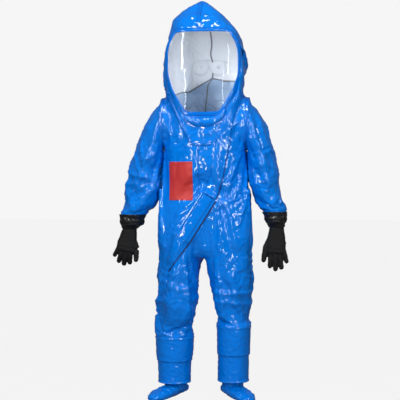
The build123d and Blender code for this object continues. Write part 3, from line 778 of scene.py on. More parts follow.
def shade_as_one(piece):
    """Sets the normals that the uncut skin had, so that a cut between two panels can't be seen."""
    mesh = piece.data
    whole = read_vectors(mesh, "whole_normal")
    own = vertex_normals(piece)
    whole[(whole * own).sum(1) < 0] *= -1
    whole /= np.maximum(np.linalg.norm(whole, axis=1), 1e-9)[:, None]
    loop_vert = np.empty(len(mesh.loops), np.int32)
    mesh.loops.foreach_get("vertex_index", loop_vert)
    sizes = np.empty(len(mesh.polygons), np.int32)
    mesh.polygons.foreach_get("loop_total", sizes)
    flat = np.empty(len(mesh.polygons) * 3, np.float32)
    mesh.polygons.foreach_get("normal", flat)
    face_normals = np.repeat(flat.reshape(-1, 3), sizes, axis=0)
    normals = whole[loop_vert]
    rim = np.abs((normals * face_normals).sum(1)) < 0.35
    normals[rim] = face_normals[rim]
    mesh.normals_split_custom_set(normals.tolist())


def arch_height(x):
    """The height of the lining's cross seam on the hood's back; below it the lining is painted darker as
    shade.
    """
    return 1572 - (0.54 * (14 - x) if x < 14 else 0.2 * (x - 14))


def panels():
    """Cuts the skin along its seams and gives each panel its own piece."""
    cut_edges()
    store_vectors(skin.data, "whole_normal", vertex_normals(skin))
    store_vectors(skin.data, "rest", coordinates(skin))
    on_sleeve = sleeve_verts()
    names = [panel_of(Spot(f.center, on_sleeve[f.vertices[0]])) for f in skin.data.polygons]
    made = {}
    for name in sorted({n for n in names if n}):
        form = bmesh.new()
        form.from_mesh(skin.data)
        form.faces.ensure_lookup_table()
        other = [f for f in form.faces if names[f.index] != name]
        bmesh.ops.delete(form, geom=other, context="FACES")
        mesh = bpy.data.meshes.new(name)
        form.to_mesh(mesh)
        form.free()
        piece = in_scene(name, mesh)
        for material in (BLUE, LINING if name in ("hood", "back_pouch") else LINING_SHADE, LINING_SHADE):
            mesh.materials.append(material)
        smooth_shaded(piece)
        thickened(piece, FILM, lining=True)
        # Inner faces below the cross seam, towards the back, take the darker lining painted as shade; the
        # other panels are lined with it throughout.
        for face in piece.data.polygons:
            if face.material_index == 1:
                below = height_of(face.center) < arch_height(face.center.x / MM)
                face.material_index = 2 if below and face.center.y > -0.02 else 1
        smooth_shaded(piece)
        shade_as_one(piece)
        made[name] = piece
    return made


skin_tree = BVHTree.FromObject(skin, bpy.context.evaluated_depsgraph_get())
panel = panels()
skin_copy = skin.data
bpy.data.objects.remove(skin)



def over_hip(piece):
    """Bakes the placing of a piece that reaches from the trunk to the thigh into its mesh."""
    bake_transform(piece)


for name in ("hood", "coverall", "back_pouch"):
    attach(panel[name], "suit_body")
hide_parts("hood_shell", "hood_seam_tape")
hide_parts("coverall_body")
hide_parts("back_pouch")
for name in SIDES:
    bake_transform(panel[f"{name}_sleeve"])
    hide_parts(f"{name}_upper_sleeve", f"{name}_elbow_fold",
                f"{name}_forearm_sleeve")
    over_hip(panel[f"{name}_trouser_upper"])
    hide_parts(f"{name}_groin_fold", f"{name}_thigh")
    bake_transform(panel[f"{name}_trouser_lower"])
    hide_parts(f"{name}_knee_fold", f"{name}_shin")

# ---------------------------------------------------------------- strips laid on the skin
FRONT_ON = Vector((0, 1, 0))


def spline(points, count, closed=False):
    """Evenly spaced points along a rounded line through the given points."""
    points = [Vector(p) for p in points]
    last = len(points) - 1
    dense = []
    for n in range(last + 1 if closed else last):
        if closed:
            a, b, c, d = (points[(n + k) % len(points)] for k in (-1, 0, 1, 2))
        else:
            a, b, c, d = (points[min(max(n + k, 0), last)] for k in (-1, 0, 1, 2))
        for k in range(12):
            t = k / 12
            dense.append(0.5 * (2 * b + (c - a) * t + (2 * a - 5 * b + 4 * c - d) * t ** 2
                                + (3 * b - a - 3 * c + d) * t ** 3))
    dense.append(points[0] if closed else points[-1])
    run = [0.0]
    for p, q in zip(dense, dense[1:]):
        run.append(run[-1] + (q - p).length)
    even, k = [], 0
    for n in range(count):
        at = run[-1] * n / (count if closed else count - 1)
        while k < len(run) - 2 and run[k + 1] < at:
            k += 1
        share = (at - run[k]) / max(run[k + 1] - run[k], 1e-9)
        even.append(dense[k].lerp(dense[k + 1], min(1.0, share)))
    return even


def on_skin(point, view):
    """Where a point lands on the skin, looking along view, or the nearest place on it."""
    hit = None
    if view is not None:
        hit = skin_tree.ray_cast(point - view * 0.8, view)[0]
    return hit or skin_tree.find_nearest(point)[0]


def sheet(name, grid, closed, thickness, smooth_as):
    """A grid of points as a sheet with thickness towards the inside; smooth_as gives the way outwards."""
    across = len(grid[0])
    rows = len(grid)
    faces = []
    for n in range(rows if closed else rows - 1):
        for m in range(across - 1):
            k = (n + 1) % rows
            faces.append((n * across + m, n * across + m + 1, k * across + m + 1, k * across + m))
    piece = mesh_piece(name, [p for row in grid for p in row], faces)
    middle = piece.data.polygons[len(faces) // 2]
    if middle.normal.dot(smooth_as(middle.center)) < 0:
        piece.data.flip_normals()
    wall = piece.modifiers.new("Solidify", "SOLIDIFY")
    wall.thickness = thickness
    wall.offset = -1
    apply_modifiers(piece)
    return piece


def form_normal(point):
    return form_tree.find_nearest(Vector(point))[1]


def laid(name, left, right, along, across, rise, view=FRONT_ON, closed=False, relax=2, sink=0.0006):
    """A strip on the skin between two lines; rise(along, across) is its height over the skin in mm."""
    grid = [[on_skin(a.lerp(b, m / across), view) for m in range(across + 1)]
            for a, b in zip(spline(left, along, closed), spline(right, along, closed))]
    flat = np.array([[tuple(p) for p in row] for row in grid])
    for _ in range(relax):
        if closed:
            flat = (np.roll(flat, 1, 0) + 2 * flat + np.roll(flat, -1, 0)) / 4
        else:
            flat[1:-1] = (flat[:-2] + 2 * flat[1:-1] + flat[2:]) / 4
        flat[:, 1:-1] = (flat[:, :-2] + 2 * flat[:, 1:-1] + flat[:, 2:]) / 4
    lowest = 1.0
    for n, row in enumerate(flat):
        for m, p in enumerate(row):
            high = rise(n / (len(flat) - 1), m / across) * MM
            lowest = min(lowest, high)
            grid[n][m] = Vector(p) + form_normal(p) * high
    return sheet(name, grid, closed, max(0.0, lowest) + sink, form_normal)


def finished(piece, material, slot, body=None, *instead):
    """Shading, pattern place and material of a piece, and the body it rides; the slot is not used."""
    if not piece.data.materials:
        piece.data.materials.append(material)
    smooth_shaded(piece)
    store_vectors(piece.data, "rest", coordinates(piece))
    if body:
        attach(piece, body)
    if instead:
        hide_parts(*instead)
    return piece


def front_line(points):
    """Places in front of the suit, from x and height."""
    return [place(x, -150, height) for x, height in points]


# closure: the flap on the chest, over the straight zip, and down the thigh
def band_rise(u, v):
    """The chest flap: a soft ridge over the chain, and a raised free edge beside the slit, whose shadow a
    separate dark strip paints.
    """
    ripple = noise.noise(Vector((u * 30, v * 3, 4.0))) * 2.2 + noise.noise(Vector((u * 70, v * 6, 1.0)))
    ridge = 2.4 + 5.0 * sin(pi * min(1.0, max(0.0, v))) ** 0.7 + 2.6 * max(0.0, 1 - v / 0.14)
    start = max(0.0, 1 - u / 0.12)
    return ridge + ripple * (1 - start) + start * 6.5 * (1.0 if v > 0.25 else 0.2 + 0.8 * v / 0.25)


upper = laid("upper_flap", front_line(BAND_OUTER), front_line(BAND_INNER[::-1]), 150, 14, band_rise)
finished(upper, BLUE, "blue_laminate", "suit_body", "upper_flap", "upper_chain")
# A dark strip along the chest flap's free edge: painted shadow in the slit under it.
slit_line = BAND_OUTER[:5]
slit_outer = [(x + 5 - n, height + 1) for n, (x, height) in enumerate(slit_line)]
slit = laid("chest_slit_shadow", front_line(slit_outer), front_line(slit_line), 100, 3, lambda u, v: 0.9)
finished(slit, SLIT_SHADOW, "blue_laminate", "suit_body")


def flap_sheet(name, profile, start, end, along, ripple):
    """A sheet over the zip from its profile across the chain, with small ripples along it."""
    grid = []
    for n in range(along):
        u = start + (end - start) * n / (along - 1)
        row = []
        for v, w in profile:
            wave = ripple * noise.noise(Vector((u * 0.03, v * 0.05, 2.0))) + 0.5 * ripple * noise.noise(
                Vector((u * 0.11, v * 0.08, 5.0)))
            row.append(zip_place(u, v, w + wave))
        grid.append(row)
    return sheet(name, grid, False, 0.0012, lambda p: Vector((0, -1, 0)))


def refined(profile, step):
    """A profile with points added, no further apart than the step."""
    fine = [profile[0]]
    for (v0, w0), (v1, w1) in zip(profile, profile[1:]):
        parts = max(1, int(hypot(v1 - v0, w1 - w0) / step))
        fine += [(v0 + (v1 - v0) * k / parts, w0 + (w1 - w0) * k / parts) for k in range(1, parts + 1)]
    return fine


flap = flap_sheet("storm_flap", refined([(35.4, 12.3), (10, 13.6), (-10, 12.8), (-15, 9.5), (-19, 5.6),
                                         (-24, 4.6), (-30, 4.6)], 3), *ZIP_ALONG, 70, 1.1)
finished(flap, BLUE, "blue_laminate", "storm_flap", "storm_flap")
base = flap_sheet("flap_base", refined([(48, 1.6), (42, 2.2), (38.5, 4.5), (37.4, 8), (36.6, 10.8)], 2),
                  *ZIP_ALONG, 70, 0.5)
finished(base, BLUE, "blue_laminate", "suit_body", "flap_base")
# A dark strip beside the storm flap's edge: painted shadow in the slit.
slit = flap_sheet("belly_slit_shadow", [(-31, 1.6), (-34, 2.0), (-37, 1.6)], *ZIP_ALONG, 70, 0.3)
finished(slit, SLIT_SHADOW, "blue_laminate", "suit_body")


def line_along(start, end, across_start, across_end, count=8):
    """A line beside the chain, in front of the belly."""
    shares = [n / (count - 1) for n in range(count)]
    return [zip_place(start + (end - start) * share, across_start + (across_end - across_start) * share, 10)
            for share in shares]


def thigh_rise(u, v):
    """The flap's tail: as high as the straight flap at its top, and flat on the thigh at its tip."""
    high = 12.0 * (1 - u) ** 1.4 + 2.5
    fall = 1.0 if v > 0.35 else 0.3 + 0.7 * v / 0.35
    return high * fall * (1.0 if v < 0.9 else 0.7) + noise.noise(Vector((u * 9, v * 3, 1.0))) * 1.2


tail = laid("lower_flap", line_along(ZIP_ALONG[0], -6, -30, -16), line_along(ZIP_ALONG[0], -6, 36, 22), 60,
            14, thigh_rise)
finished(tail, BLUE, "blue_laminate")
over_hip(tail)
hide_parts("lower_flap")
# A dark strip beside the tail's free edge: painted shadow in the slit.
slit = laid("thigh_slit_shadow", line_along(ZIP_ALONG[0], -6, -36, -20), line_along(ZIP_ALONG[0], -6, -30, -16),
            60, 3, lambda u, v: 1.6)
finished(slit, SLIT_SHADOW, "blue_laminate")
over_hip(slit)

# chin roll and the visor's binding
chin_top = [(-88, 1362), (-60, 1352), (-20, 1348), (30, 1349), (66, 1358), (88, 1376), (100, 1396)]
chin_low = [(-76, 1330), (-50, 1314), (-24, 1306), (36, 1307), (74, 1322), (98, 1342), (112, 1376)]


def chin_rise(u, v):
    return 2.0 + 11.0 * sin(pi * v) ** 0.8 + 1.5 * noise.noise(Vector((u * 12, v * 3, 8.0)))


chin = laid("chin_roll", front_line(chin_top), front_line(chin_low), 90, 12, chin_rise)
finished(chin, BLUE, "blue_laminate", "suit_body", "chin_roll")


def grown_outline(outline, by):
    """An outline moved outwards by a distance, corner by corner."""
    grown = []
    count = len(outline)
    for n in range(count):
        (xa, za), (xb, zb), (xc, zc) = outline[n - 1], outline[n], outline[(n + 1) % count]
        one = Vector((zb - za, xa - xb)).normalized()
        two = Vector((zc - zb, xb - xc)).normalized()
        out = (one + two).normalized()
        reach = by / max(0.4, out.dot(one))
        grown.append((xb - out.x * reach, zb - out.y * reach))
    return grown


rounded_visor = []
for n, (x, height) in enumerate(VISOR):
    for xo, zo in (VISOR[n - 1], VISOR[(n + 1) % len(VISOR)]):
        gap = hypot(xo - x, zo - height)
        near = min(16, gap * 0.4)
        rounded_visor.append((x + (xo - x) * near / gap, height + (zo - height) * near / gap))
binding = laid("visor_binding", front_line(grown_outline(rounded_visor, -5)),
               front_line(grown_outline(rounded_visor, 15)), 220, 8,
               lambda u, v: 1.2 + 2.2 * sin(pi * v) ** 0.6, closed=True)
finished(binding, BLUE_SMOOTH, "blue_laminate", "suit_body", "visor_seal")

# plain red patch
x0, x1, low, high = PATCH
patch_heights = [low + (high - low) * n / 9 for n in range(10)]
red = laid("chest_patch", front_line([(x0, z) for z in patch_heights]),
           front_line([(x1, z) for z in patch_heights]), 60, 38, lambda u, v: 1.6)
finished(red, RED, "red_patch", "suit_body", "chest_patch")


# seam tapes
def tape(name, line, sideways, width, rise, view=FRONT_ON, closed=False, along=120):
    """A welded seam tape, width wide, along a line."""
    offset = Vector(sideways) * width / 2 * MM
    made = laid(name, [p - offset for p in line], [p + offset for p in line], along, 4,
                lambda u, v: rise * (0.4 + 0.6 * sin(pi * v)), view=view, closed=closed, relax=1)
    finished(made, BLUE_SMOOTH, "blue_laminate", "suit_body")


tape("bib_tape", front_line([(-58, 1228), (-98, 1305), (-136, 1382), (-172, 1452)]), (0.894, 0, 0.449),
     15, 2.2)
for side in SIDES.values():
    arc = [place(side * x, y, NECK) for x, y in ((172, -152), (188, -110), (191, -40), (191, 40), (180, 105),
                                                (160, 138), (146, 150))]
    tape("neck_tape", arc, (0, 0, 1), 18, 2.2, view=None)
    circle = [place(side * ARMHOLE, ARMHOLE_RADIUS * cos(2 * pi * n / 24),
                    ARMHOLE_HEIGHT + ARMHOLE_RADIUS * sin(2 * pi * n / 24)) for n in range(24)]
    tape("armhole_tape", circle, (1, 0, 0), 20, 2.6, view=None, closed=True, along=180)
    edge = [place(side * x, y, height) for x, y, height in (
        (90, 150, 985), (128, 150, 1010), (150, 149, 1060), (153, 149, 1200), (153, 149, 1380),
        (151, 151, 1462), (140, 172, 1520), (110, 192, 1572))]
    tape("pouch_tape", edge, (0, 1, 0), 20, 2.0, view=None)
tape("bib_foot_tape", front_line([(-58, 1224), (-20, 1222), (40, 1222)]), (0, 0, 1), 15, 2.2, along=40)
tape("centre_tape", front_line([(-21, 1216), (-21, 1100), (-20, 985)]), (1, 0, 0), 9, 1.8)
crest = [place(x, y, height) for x, y, height in (
    (-15, -172, 1778), (-19, -150, 1808), (-23, -112, 1850), (-20, -60, 1898), (-16, 0, 1928),
    (-14, 55, 1900), (-8, 105, 1855), (-4, 145, 1806), (0, 172, 1752), (0, 188, 1690), (0, 189, 1612))]
tape("hood_crest_tape", crest, (1, 0, 0), 22, 2.4, view=None)

# tapes seen inside the hood, on its back
def inside_line(points):
    """Places on the hood's inner back, from x and height as seen through the visor from the front."""
    found = []
    for x, height in points:
        hit = skin_tree.ray_cast(place(x, 20, height), FRONT_ON)[0]
        found.append(hit or place(x, 180, height))
    return found


def inner_tape(name, points, width, sideways):
    offset = Vector(sideways) * width / 2 * MM
    line = spline(inside_line(points), 60)
    grid = []
    for p in line:
        row = []
        for m in range(5):
            q = p + offset * (m / 2 - 1)
            hit = skin_tree.ray_cast(Vector((q.x, 0.02, q.z)), FRONT_ON)[0] or q
            row.append(hit - form_normal(hit) * (FILM + 0.0022))
        grid.append(row)
    made = sheet(name, grid, False, 0.0008, lambda q: -form_normal(q))
    finished(made, LINING_TAPE, "blue_laminate", "suit_body")


inner_tape("inner_crest_tape", [(10, 1800), (14, 1740), (8, 1690), (18, 1640), (14, 1572), (-8, 1540),
                                (-18, 1480), (-26, 1420), (-24, 1370)], 8, (1, 0, 0))
inner_tape("inner_arch_tape", [(x, arch_height(x)) for x in (-175, -120, -60, 0, 14, 30, 90, 165)], 7,
           (0, 0, 1))

# lining pockets over the valves' nuts
for x, height in VALVES:
    rings = [[place(x + r * cos(2 * pi * n / 40), y, height + r * sin(2 * pi * n / 40)) for n in range(40)]
             for r, y in ((43, 186.5), (39, 183), (34, 179.5), (28, 177.6), (14, 176.8), (2, 176.6))]
    pocket = lofted("valve_pocket", rings, closed_ends=False)
    if pocket.data.polygons[-1].normal.y > 0:
        pocket.data.flip_normals()
    thickened(pocket, 0.0006)
    finished(pocket, LINING, "blue_laminate", "suit_body")


# ---------------------------------------------------------------- visor
def visor_piece():
    form = bmesh.new()
    form.from_mesh(skin_copy)
    form.faces.ensure_lookup_table()
    keep = []
    for face in form.faces:
        c = face.calc_center_median()
        inside = c.y < -0.05 and 1340 < height_of(c) < 1790
        keep.append(inside and in_outline(c.x / MM, height_of(c), VISOR, 9))
    bmesh.ops.delete(form, geom=[f for f, k in zip(form.faces, keep) if not k], context="FACES")
    for _ in range(12):
        bmesh.ops.smooth_vert(form, verts=form.verts, factor=0.5, use_axis_x=True, use_axis_y=True,
                              use_axis_z=True)
    mesh = bpy.data.meshes.new("visor_lens")
    form.to_mesh(mesh)
    form.free()
    piece = in_scene("visor_lens", mesh)
    smooth_shaded(piece)
    points = coordinates(piece)
    set_coordinates(piece, points - vertex_normals(piece) * 0.0022)
    thickened(piece, 0.0009)
    return piece


lens = visor_piece()
finished(lens, VISOR_CLEAR, "clear_visor", "suit_body", "visor_lens")
bpy.data.meshes.remove(skin_copy)


# ---------------------------------------------------------------- gauntlets, cuff bands and gloves
def tube_piece(name, rows, material, thickness, ripple, detail, body, slot):
    """An open tube through oval rings (x, y, height, half width, half depth), plus ripple(height, turn)."""
    rings = []
    for x, y, height, half, depth in rows:
        ring = []
        for n in range(detail):
            turn = 2 * pi * n / detail
            out = ripple(height, turn)
            ring.append(place(x + (half + out) * cos(turn), y + (depth + out) * sin(turn), height))
        rings.append(ring)
    piece = lofted(name, rings, closed_ends=False)
    middle = piece.data.polygons[len(piece.data.polygons) // 2]
    axis = Vector((sum(r[0] for r in rows) / len(rows) * MM, 0, 0))
    if middle.normal.dot(Vector((middle.center.x - axis.x, middle.center.y, 0))) < 0:
        piece.data.flip_normals()
    thickened(piece, thickness)
    finished(piece, material, slot, body, name)


def between(rows, count):
    """The rows of a table filled in evenly to count rows."""
    heights = [row[2] for row in rows]
    made = []
    for n in range(count):
        height = heights[0] + (heights[-1] - heights[0]) * n / (count - 1)
        k = max(0, min(len(rows) - 2, sum(1 for h in heights[1:-1] if h > height)))
        share = (height - heights[k]) / (heights[k + 1] - heights[k])
        made.append(tuple(a + (b - a) * share for a, b in zip(rows[k], rows[k + 1])))
    return made


CUFFS = {"right": (366, 858, 54, 58), "left": (341, 872, 48, 56)}
WRIST = {"right": (378, 806), "left": (346, 815)}
HAND_SLANT = {"right": 11.0, "left": -2.0}
HAND_CURL = {"right": 30.0, "left": 12.0}
HAND_REACH = {"right": 1.0, "left": 1.12}
PALM = [(14, 34, 26), (0, 36, 27), (-35, 43, 24), (-72, 48, 21), (-104, 45, 16)]
FINGERS = [(25, -94, 82, 12.2, 1), (3, -98, 90, 12.2, -3), (-19, -96, 84, 11.8, -8),
           (-38, -88, 66, 10.8, -16)]
THUMB = [(26, -34), (50, -78), (58, -138)]
THUMB_RADIUS = 13.4
WRIST_HALF, WRIST_DEPTH = 39, 31


def gauntlet_ripple(seed, low, high):
    """Rings of loose rubber, deepest half way down the gauntlet."""
    def ripple(height, turn):
        share = (height - low) / (high - low)
        spot = Vector((cos(turn) * 1.4, sin(turn) * 1.4 + seed, height * 0.055))
        folds = 2.6 * (1 - abs(noise.noise(spot)) * 2.6)
        return folds * (0.5 + 0.7 * sin(pi * min(1.0, max(0.0, share)))) - 0.6
    return ripple


def capsule(name, stations):
    """A closed rod through (point, radius) stations, with rounded ends."""
    (first, r0), (second, _) = stations[0], stations[1]
    (before, _), (last, r1) = stations[-2], stations[-1]
    start, end = (second - first).normalized(), (last - before).normalized()
    rows = [(first - start * r0 * cos(a), r0 * sin(a), start) for a in (0.25, 0.65, 1.1)]
    for n, (point, radius) in enumerate(stations):
        ahead = stations[min(n + 1, len(stations) - 1)][0] - stations[max(n - 1, 0)][0]
        rows.append((point, radius, ahead.normalized()))
    rows += [(last + end * r1 * sin(a), r1 * cos(a), end) for a in (0.45, 0.9, 1.3)]
    rings = []
    for point, radius, ahead in rows:
        turn = ahead.to_track_quat("Z", "Y").to_matrix()
        rings.append([point + turn @ Vector((cos(2 * pi * k / 16), sin(2 * pi * k / 16), 0)) * radius
                      for k in range(16)])
    return lofted(name, rings)


def squared(share, power):
    """A sine or cosine pushed outwards, for a section between an ellipse and a rectangle."""
    return (abs(share) ** power) * (1 if share > 0 else -1)


def glove(name, side):
    """A glove with palm, four fingers and a thumb, fused and creased, over the wrist joint."""
    wrist_x, wrist_z = WRIST[name]
    at = Matrix.Translation(place(side * wrist_x, 0, wrist_z)) @ Matrix.Rotation(
        radians(-side * HAND_SLANT[name]), 4, "Y")
    curl = HAND_CURL[name]

    def put(x, y, z):
        return at @ Vector((x * MM, y * MM, z * MM * (HAND_REACH[name] if z < 0 else 1.0)))

    palm_rings = []
    for drop, half, depth in PALM:
        ring = []
        for n in range(28):
            turn = 2 * pi * n / 28
            ring.append(put(half * squared(cos(turn), 0.75), depth * squared(sin(turn), 0.85), drop))
        palm_rings.append(ring)
    parts = [lofted("palm", palm_rings)]
    for across, root, length, radius, spread in FINGERS:
        x, y, z = -side * across, 0.0, root
        stations = [(put(x, y, z + 26), radius * MM * 1.06), (put(x, y, z), radius * MM * 1.06)]
        step = (length / 2 - radius / 2) / 3
        for bend in (curl * 0.45, curl):
            for k in (1, 2, 3):
                x += -side * sin(radians(spread)) * step
                y += sin(radians(bend)) * step
                z -= cos(radians(bend)) * cos(radians(spread)) * step
                stations.append((put(x, y, z), radius * MM * (1.03 if k == 3 else 1.0)))
        parts.append(capsule("finger", stations))
    thumb = [Vector((-side * u, 2.0 * n, z)) for n, (u, z) in enumerate(THUMB)]
    stations = [(put(*one.lerp(two, k / 4)), THUMB_RADIUS * MM) for one, two in zip(thumb, thumb[1:])
                for k in range(4)]
    stations.append((put(*thumb[-1]), 12.0 * MM))
    parts.append(capsule("thumb", stations))
    piece = fused(f"{name}_glove", parts, 0.0024, 4)
    points = coordinates(piece)
    normals = vertex_normals(piece)
    for n, p in enumerate(points):
        fold = 1 - min(1.0, abs(noise.noise(Vector((p[0] * 30, p[1] * 30 + side, p[2] * 75)))) * 3.2)
        points[n] += normals[n] * (fold - 0.4) * 0.0011
    set_coordinates(piece, points)
    finished(piece, GLOVE, "black_glove")
    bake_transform(piece)
    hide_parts(f"{name}_glove", f"{name}_wrist_fold")


for name, side in SIDES.items():
    cuff_x, cuff_z, half, depth = CUFFS[name]
    wrist_x, wrist_z = WRIST[name]
    rows = [(side * (cuff_x - 4), 0, cuff_z + 26, half + 14, depth + 14),
            (side * cuff_x, 0, cuff_z + 4, half + 7, depth + 7),
            (side * cuff_x, 0, cuff_z - 24, half + 3, depth + 3),
            (side * (cuff_x + wrist_x) / 2, 0, (cuff_z + wrist_z) / 2 - 6, (half + WRIST_HALF - 1) / 2,
             (depth + WRIST_DEPTH) / 2),
            (side * wrist_x, 0, wrist_z + 8, WRIST_HALF, WRIST_DEPTH)]
    ripple = gauntlet_ripple(side, wrist_z, cuff_z + 26)
    tube_piece(f"{name}_gauntlet", between(rows, 44), GAUNTLET, 0.0013, ripple, 64, f"{name}_forearm",
               "black_gauntlet")
    band_rows = [(side * cuff_x, 0, height, half + out, depth + out) for height, out in (
        (cuff_z - 1, 4.2), (cuff_z - 2, 7.4), (cuff_z - 9, 8.2), (cuff_z - 15, 7.4), (cuff_z - 16, 4.2))]
    tube_piece(f"{name}_cuff_band", band_rows, GLOVE, 0.001, lambda height, turn: 0.5 * sin(9 * turn), 64,
               f"{name}_forearm", "black_gauntlet")
    glove(name, side)


# ---------------------------------------------------------------- boot flaps and booties
FLAPS = {
    "right": [(275, 154, 95, 94), (62, 155, 79, 84)],
    "left": [(332, 137, 84, 93), (72, 134, 76, 84)],
}
SKIRT_GAP = 3.8
ANKLE_X = {"right": 155, "left": 134}
TOE_OUT = {"right": 20.0, "left": 24.0}
FOOT = [(-90, 28, 40), (-82, 38, 47), (-60, 44, 50), (0, 49, 53), (45, 53, 53), (80, 55, 50), (125, 54, 48),
        (165, 50, 44), (200, 40, 38), (222, 28, 31), (230, 18, 26)]


def flap_ripple(seed):
    """The slack of a boot flap, the same for its band and its skirt."""
    def ripple(height, turn):
        spot = Vector((cos(turn) * 1.7 + seed, sin(turn) * 1.7, height * 0.011))
        fine = Vector((cos(turn) * 4.5, sin(turn) * 4.5 + seed, height * 0.04))
        return 2.6 * noise.noise(spot) + 1.8 * (0.5 - min(1.0, abs(noise.noise(fine)) * 3))
    return ripple


def foot_ring(name, side, forward, half, height):
    """A rounded section of the foot, from the ankle forwards."""
    ring = []
    toe = radians(side * TOE_OUT[name])
    for n in range(28):
        turn = 2 * pi * n / 28
        across = half * squared(cos(turn), 0.8)
        up = height / 2 + height / 2 * squared(sin(turn), 0.8)
        x = across * cos(toe) + forward * sin(toe)
        y = across * sin(toe) - forward * cos(toe)
        ring.append(place(side * ANKLE_X[name] + x, 4 + y, max(0.0, up)))
    return ring


def bootie(name, side):
    """A sock-shaped bootie: sole and open shaft, over the ankle joint."""
    sole = lofted("foot", [foot_ring(name, side, *row) for row in FOOT])
    toe = radians(side * TOE_OUT[name])
    x, y = side * ANKLE_X[name] - 8 * sin(toe), 4 + 8 * cos(toe)
    shaft = lofted("shaft", [oval_ring(x, y, height, half, depth, 0, 1) for height, half, depth in (
        (16, 50, 56), (60, 54, 60), (110, 56, 61), (165, 60, 64), (210, 64, 68))])
    piece = fused(f"{name}_bootie", [sole, shaft], 0.005, 4)
    subdivided(piece)
    form = bmesh.new()
    form.from_mesh(piece.data)
    top = [f for f in form.faces if height_of(f.calc_center_median()) > 203]
    bmesh.ops.delete(form, geom=top, context="FACES")
    form.to_mesh(piece.data)
    form.free()
    points = coordinates(piece)
    normals = vertex_normals(piece)
    for n, p in enumerate(points):
        flat_sole = min(1.0, height_of(p) / 14)
        press = (crease(p, 20, 1.6) - 0.6) * 0.004 + (crease(p, 48) - 0.6) * 0.0018
        points[n] += normals[n] * press * flat_sole
        points[n][2] = max(points[n][2], SOLE)
    set_coordinates(piece, points)
    thickened(piece, FILM)
    finished(piece, BLUE, "blue_laminate")
    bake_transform(piece)
    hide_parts(f"{name}_bootie", f"{name}_ankle_fold")


for name, side in SIDES.items():
    (top_z, top_x, top_half, top_depth), (hem_z, hem_x, hem_half, hem_depth) = FLAPS[name]
    lap_z = (top_z + hem_z) / 2
    lap_x, lap_half, lap_depth = (top_x + hem_x) / 2, (top_half + hem_half) / 2, (top_depth + hem_depth) / 2
    ripple = flap_ripple(side * 3)
    collar = [(side * top_x, 4, top_z + up, top_half + out, top_depth + out)
              for up, out in ((15, -2.5), (10, 1), (4, 1.5), (0, -0.5), (-8, -0.5))]
    rows = collar[:-1] + between([collar[-1], (side * lap_x, 4, lap_z, lap_half, lap_depth)], 26)
    tube_piece(f"{name}_flap_band", rows, BLUE, FILM, ripple, 96, f"{name}_shin", "blue_laminate")
    skirt_half, skirt_depth = lap_half - SKIRT_GAP, lap_depth - SKIRT_GAP
    low_half, low_depth = min(hem_half, skirt_half), min(hem_depth, skirt_depth)
    rows = between([(side * lap_x, 4, lap_z + 12, skirt_half, skirt_depth),
                    (side * hem_x, 4, hem_z + 7, low_half, low_depth)], 30)
    rows += [(side * hem_x, 4, hem_z + up, low_half + out, low_depth + out)
             for up, out in ((6, 1.4), (2, 1.8), (0, 1.0))]
    tube_piece(f"{name}_flap_skirt", rows, BLUE, FILM, ripple, 96, f"{name}_boot_flap", "blue_laminate")
    bootie(name, side)


# ---------------------------------------------------------------- finishes of the CAD pieces that stay
KEPT = {
    "zip_tape": ZIP_TAPE, "zip_teeth": ZIP_TEETH, "upper_chain": ZIP_TEETH, "zip_slider": ZIP_METAL,
    "zip_pull": ZIP_METAL, "flap_hook": HOOKS, "flap_loop": HOOKS, "flap_base": BLUE_SMOOTH, "valve_": VALVE,
    "valve_nuts": LINING_PLAIN, "_valve_flap": VALVE_RUBBER, "cuff_ring": CUFF_PLASTIC,
}
for node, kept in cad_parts.items():
    for part, material in KEPT.items():
        if part in node:
            for n in range(len(kept.material_slots)):
                kept.material_slots[n].material = material

# ---------------------------------------------------------------- floor, light and camera
def seen_by_camera(tree, plain, shown, share, output):
    """Mixes what only the camera sees into what lights the suit."""
    ray = added(tree, "LightPath").outputs["Is Camera Ray"]
    mix = added(tree, "MixShader", {0: maths(tree, "MULTIPLY", ray, share), 1: plain.outputs[0],
                                    2: shown.outputs[0]})
    tree.links.new(mix.outputs[0], tree.nodes[output].inputs["Surface"])


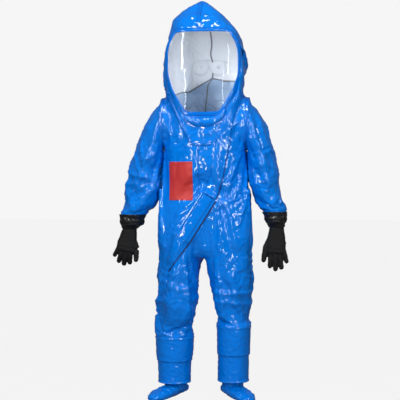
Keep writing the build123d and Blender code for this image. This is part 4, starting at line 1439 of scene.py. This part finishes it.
world = bpy.data.worlds.new("studio")
bpy.context.scene.world = world
world.use_nodes = True
background = world.node_tree.nodes["Background"]
background.inputs["Color"].default_value = (0.9, 0.92, 0.95, 1)
background.inputs["Strength"].default_value = 0.13
backdrop = added(world.node_tree, "Background", {}, {"Color": (0.92, 0.92, 0.92, 1)})
seen_by_camera(world.node_tree, background, backdrop, 1.0, "World Output")

bpy.ops.mesh.primitive_plane_add(size=60, location=(0, 0, SOLE - 0.0005))
floor = bpy.context.object
floor.name = "floor"
paper, paper_tree, paper_shader = new_material("white_paper", Base_Color=(0.14, 0.14, 0.14, 1), Roughness=0.9,
                                               Specular_IOR_Level=0.0)
glow = added(paper_tree, "Emission", {}, {"Color": (0.93, 0.93, 0.93, 1)})
seen_by_camera(paper_tree, paper_shader, glow, 0.96, "Material Output")
floor.data.materials.append(paper)


def aim(holder, target):
    """Turns a lamp or camera towards a place."""
    holder.rotation_euler = (Vector(target) - holder.location).to_track_quat("-Z", "Y").to_euler()


def soft_light(name, location, target, width, height, watts):
    lamp = bpy.data.lights.new(name, "AREA")
    lamp.shape = "RECTANGLE"
    lamp.size, lamp.size_y = width, height
    lamp.energy = watts
    holder = in_scene(name, lamp)
    holder.location = location
    aim(holder, target)


soft_light("key", (-1.8, -3.1, 1.4), (0, 0, -0.2), 0.3, 2.2, 72)
soft_light("fill", (2.4, -2.6, 0.8), (0, 0, -0.3), 0.26, 2.4, 48)
soft_light("top", (0.3, -1.5, 3.0), (0, 0, 0), 1.2, 0.5, 46)
soft_light("low", (-1.1, -3.2, -0.35), (0, 0, -0.8), 0.16, 1.3, 20)
soft_light("low_fill", (1.3, -3.1, -0.4), (0, 0, -0.8), 0.14, 1.2, 14)

CAMERA_DISTANCE = 5.0
CAMERA_TURN = radians(6)
target = Vector((-0.029, 0, SOLE + 0.955))
camera = bpy.data.cameras.new("camera")
camera.lens = 91.8
holder = in_scene("camera", camera)
holder.location = target + Vector((sin(CAMERA_TURN), -cos(CAMERA_TURN), 0.009)) * CAMERA_DISTANCE
aim(holder, target)
bpy.context.scene.camera = holder
bpy.context.scene.view_settings.view_transform = "Standard"
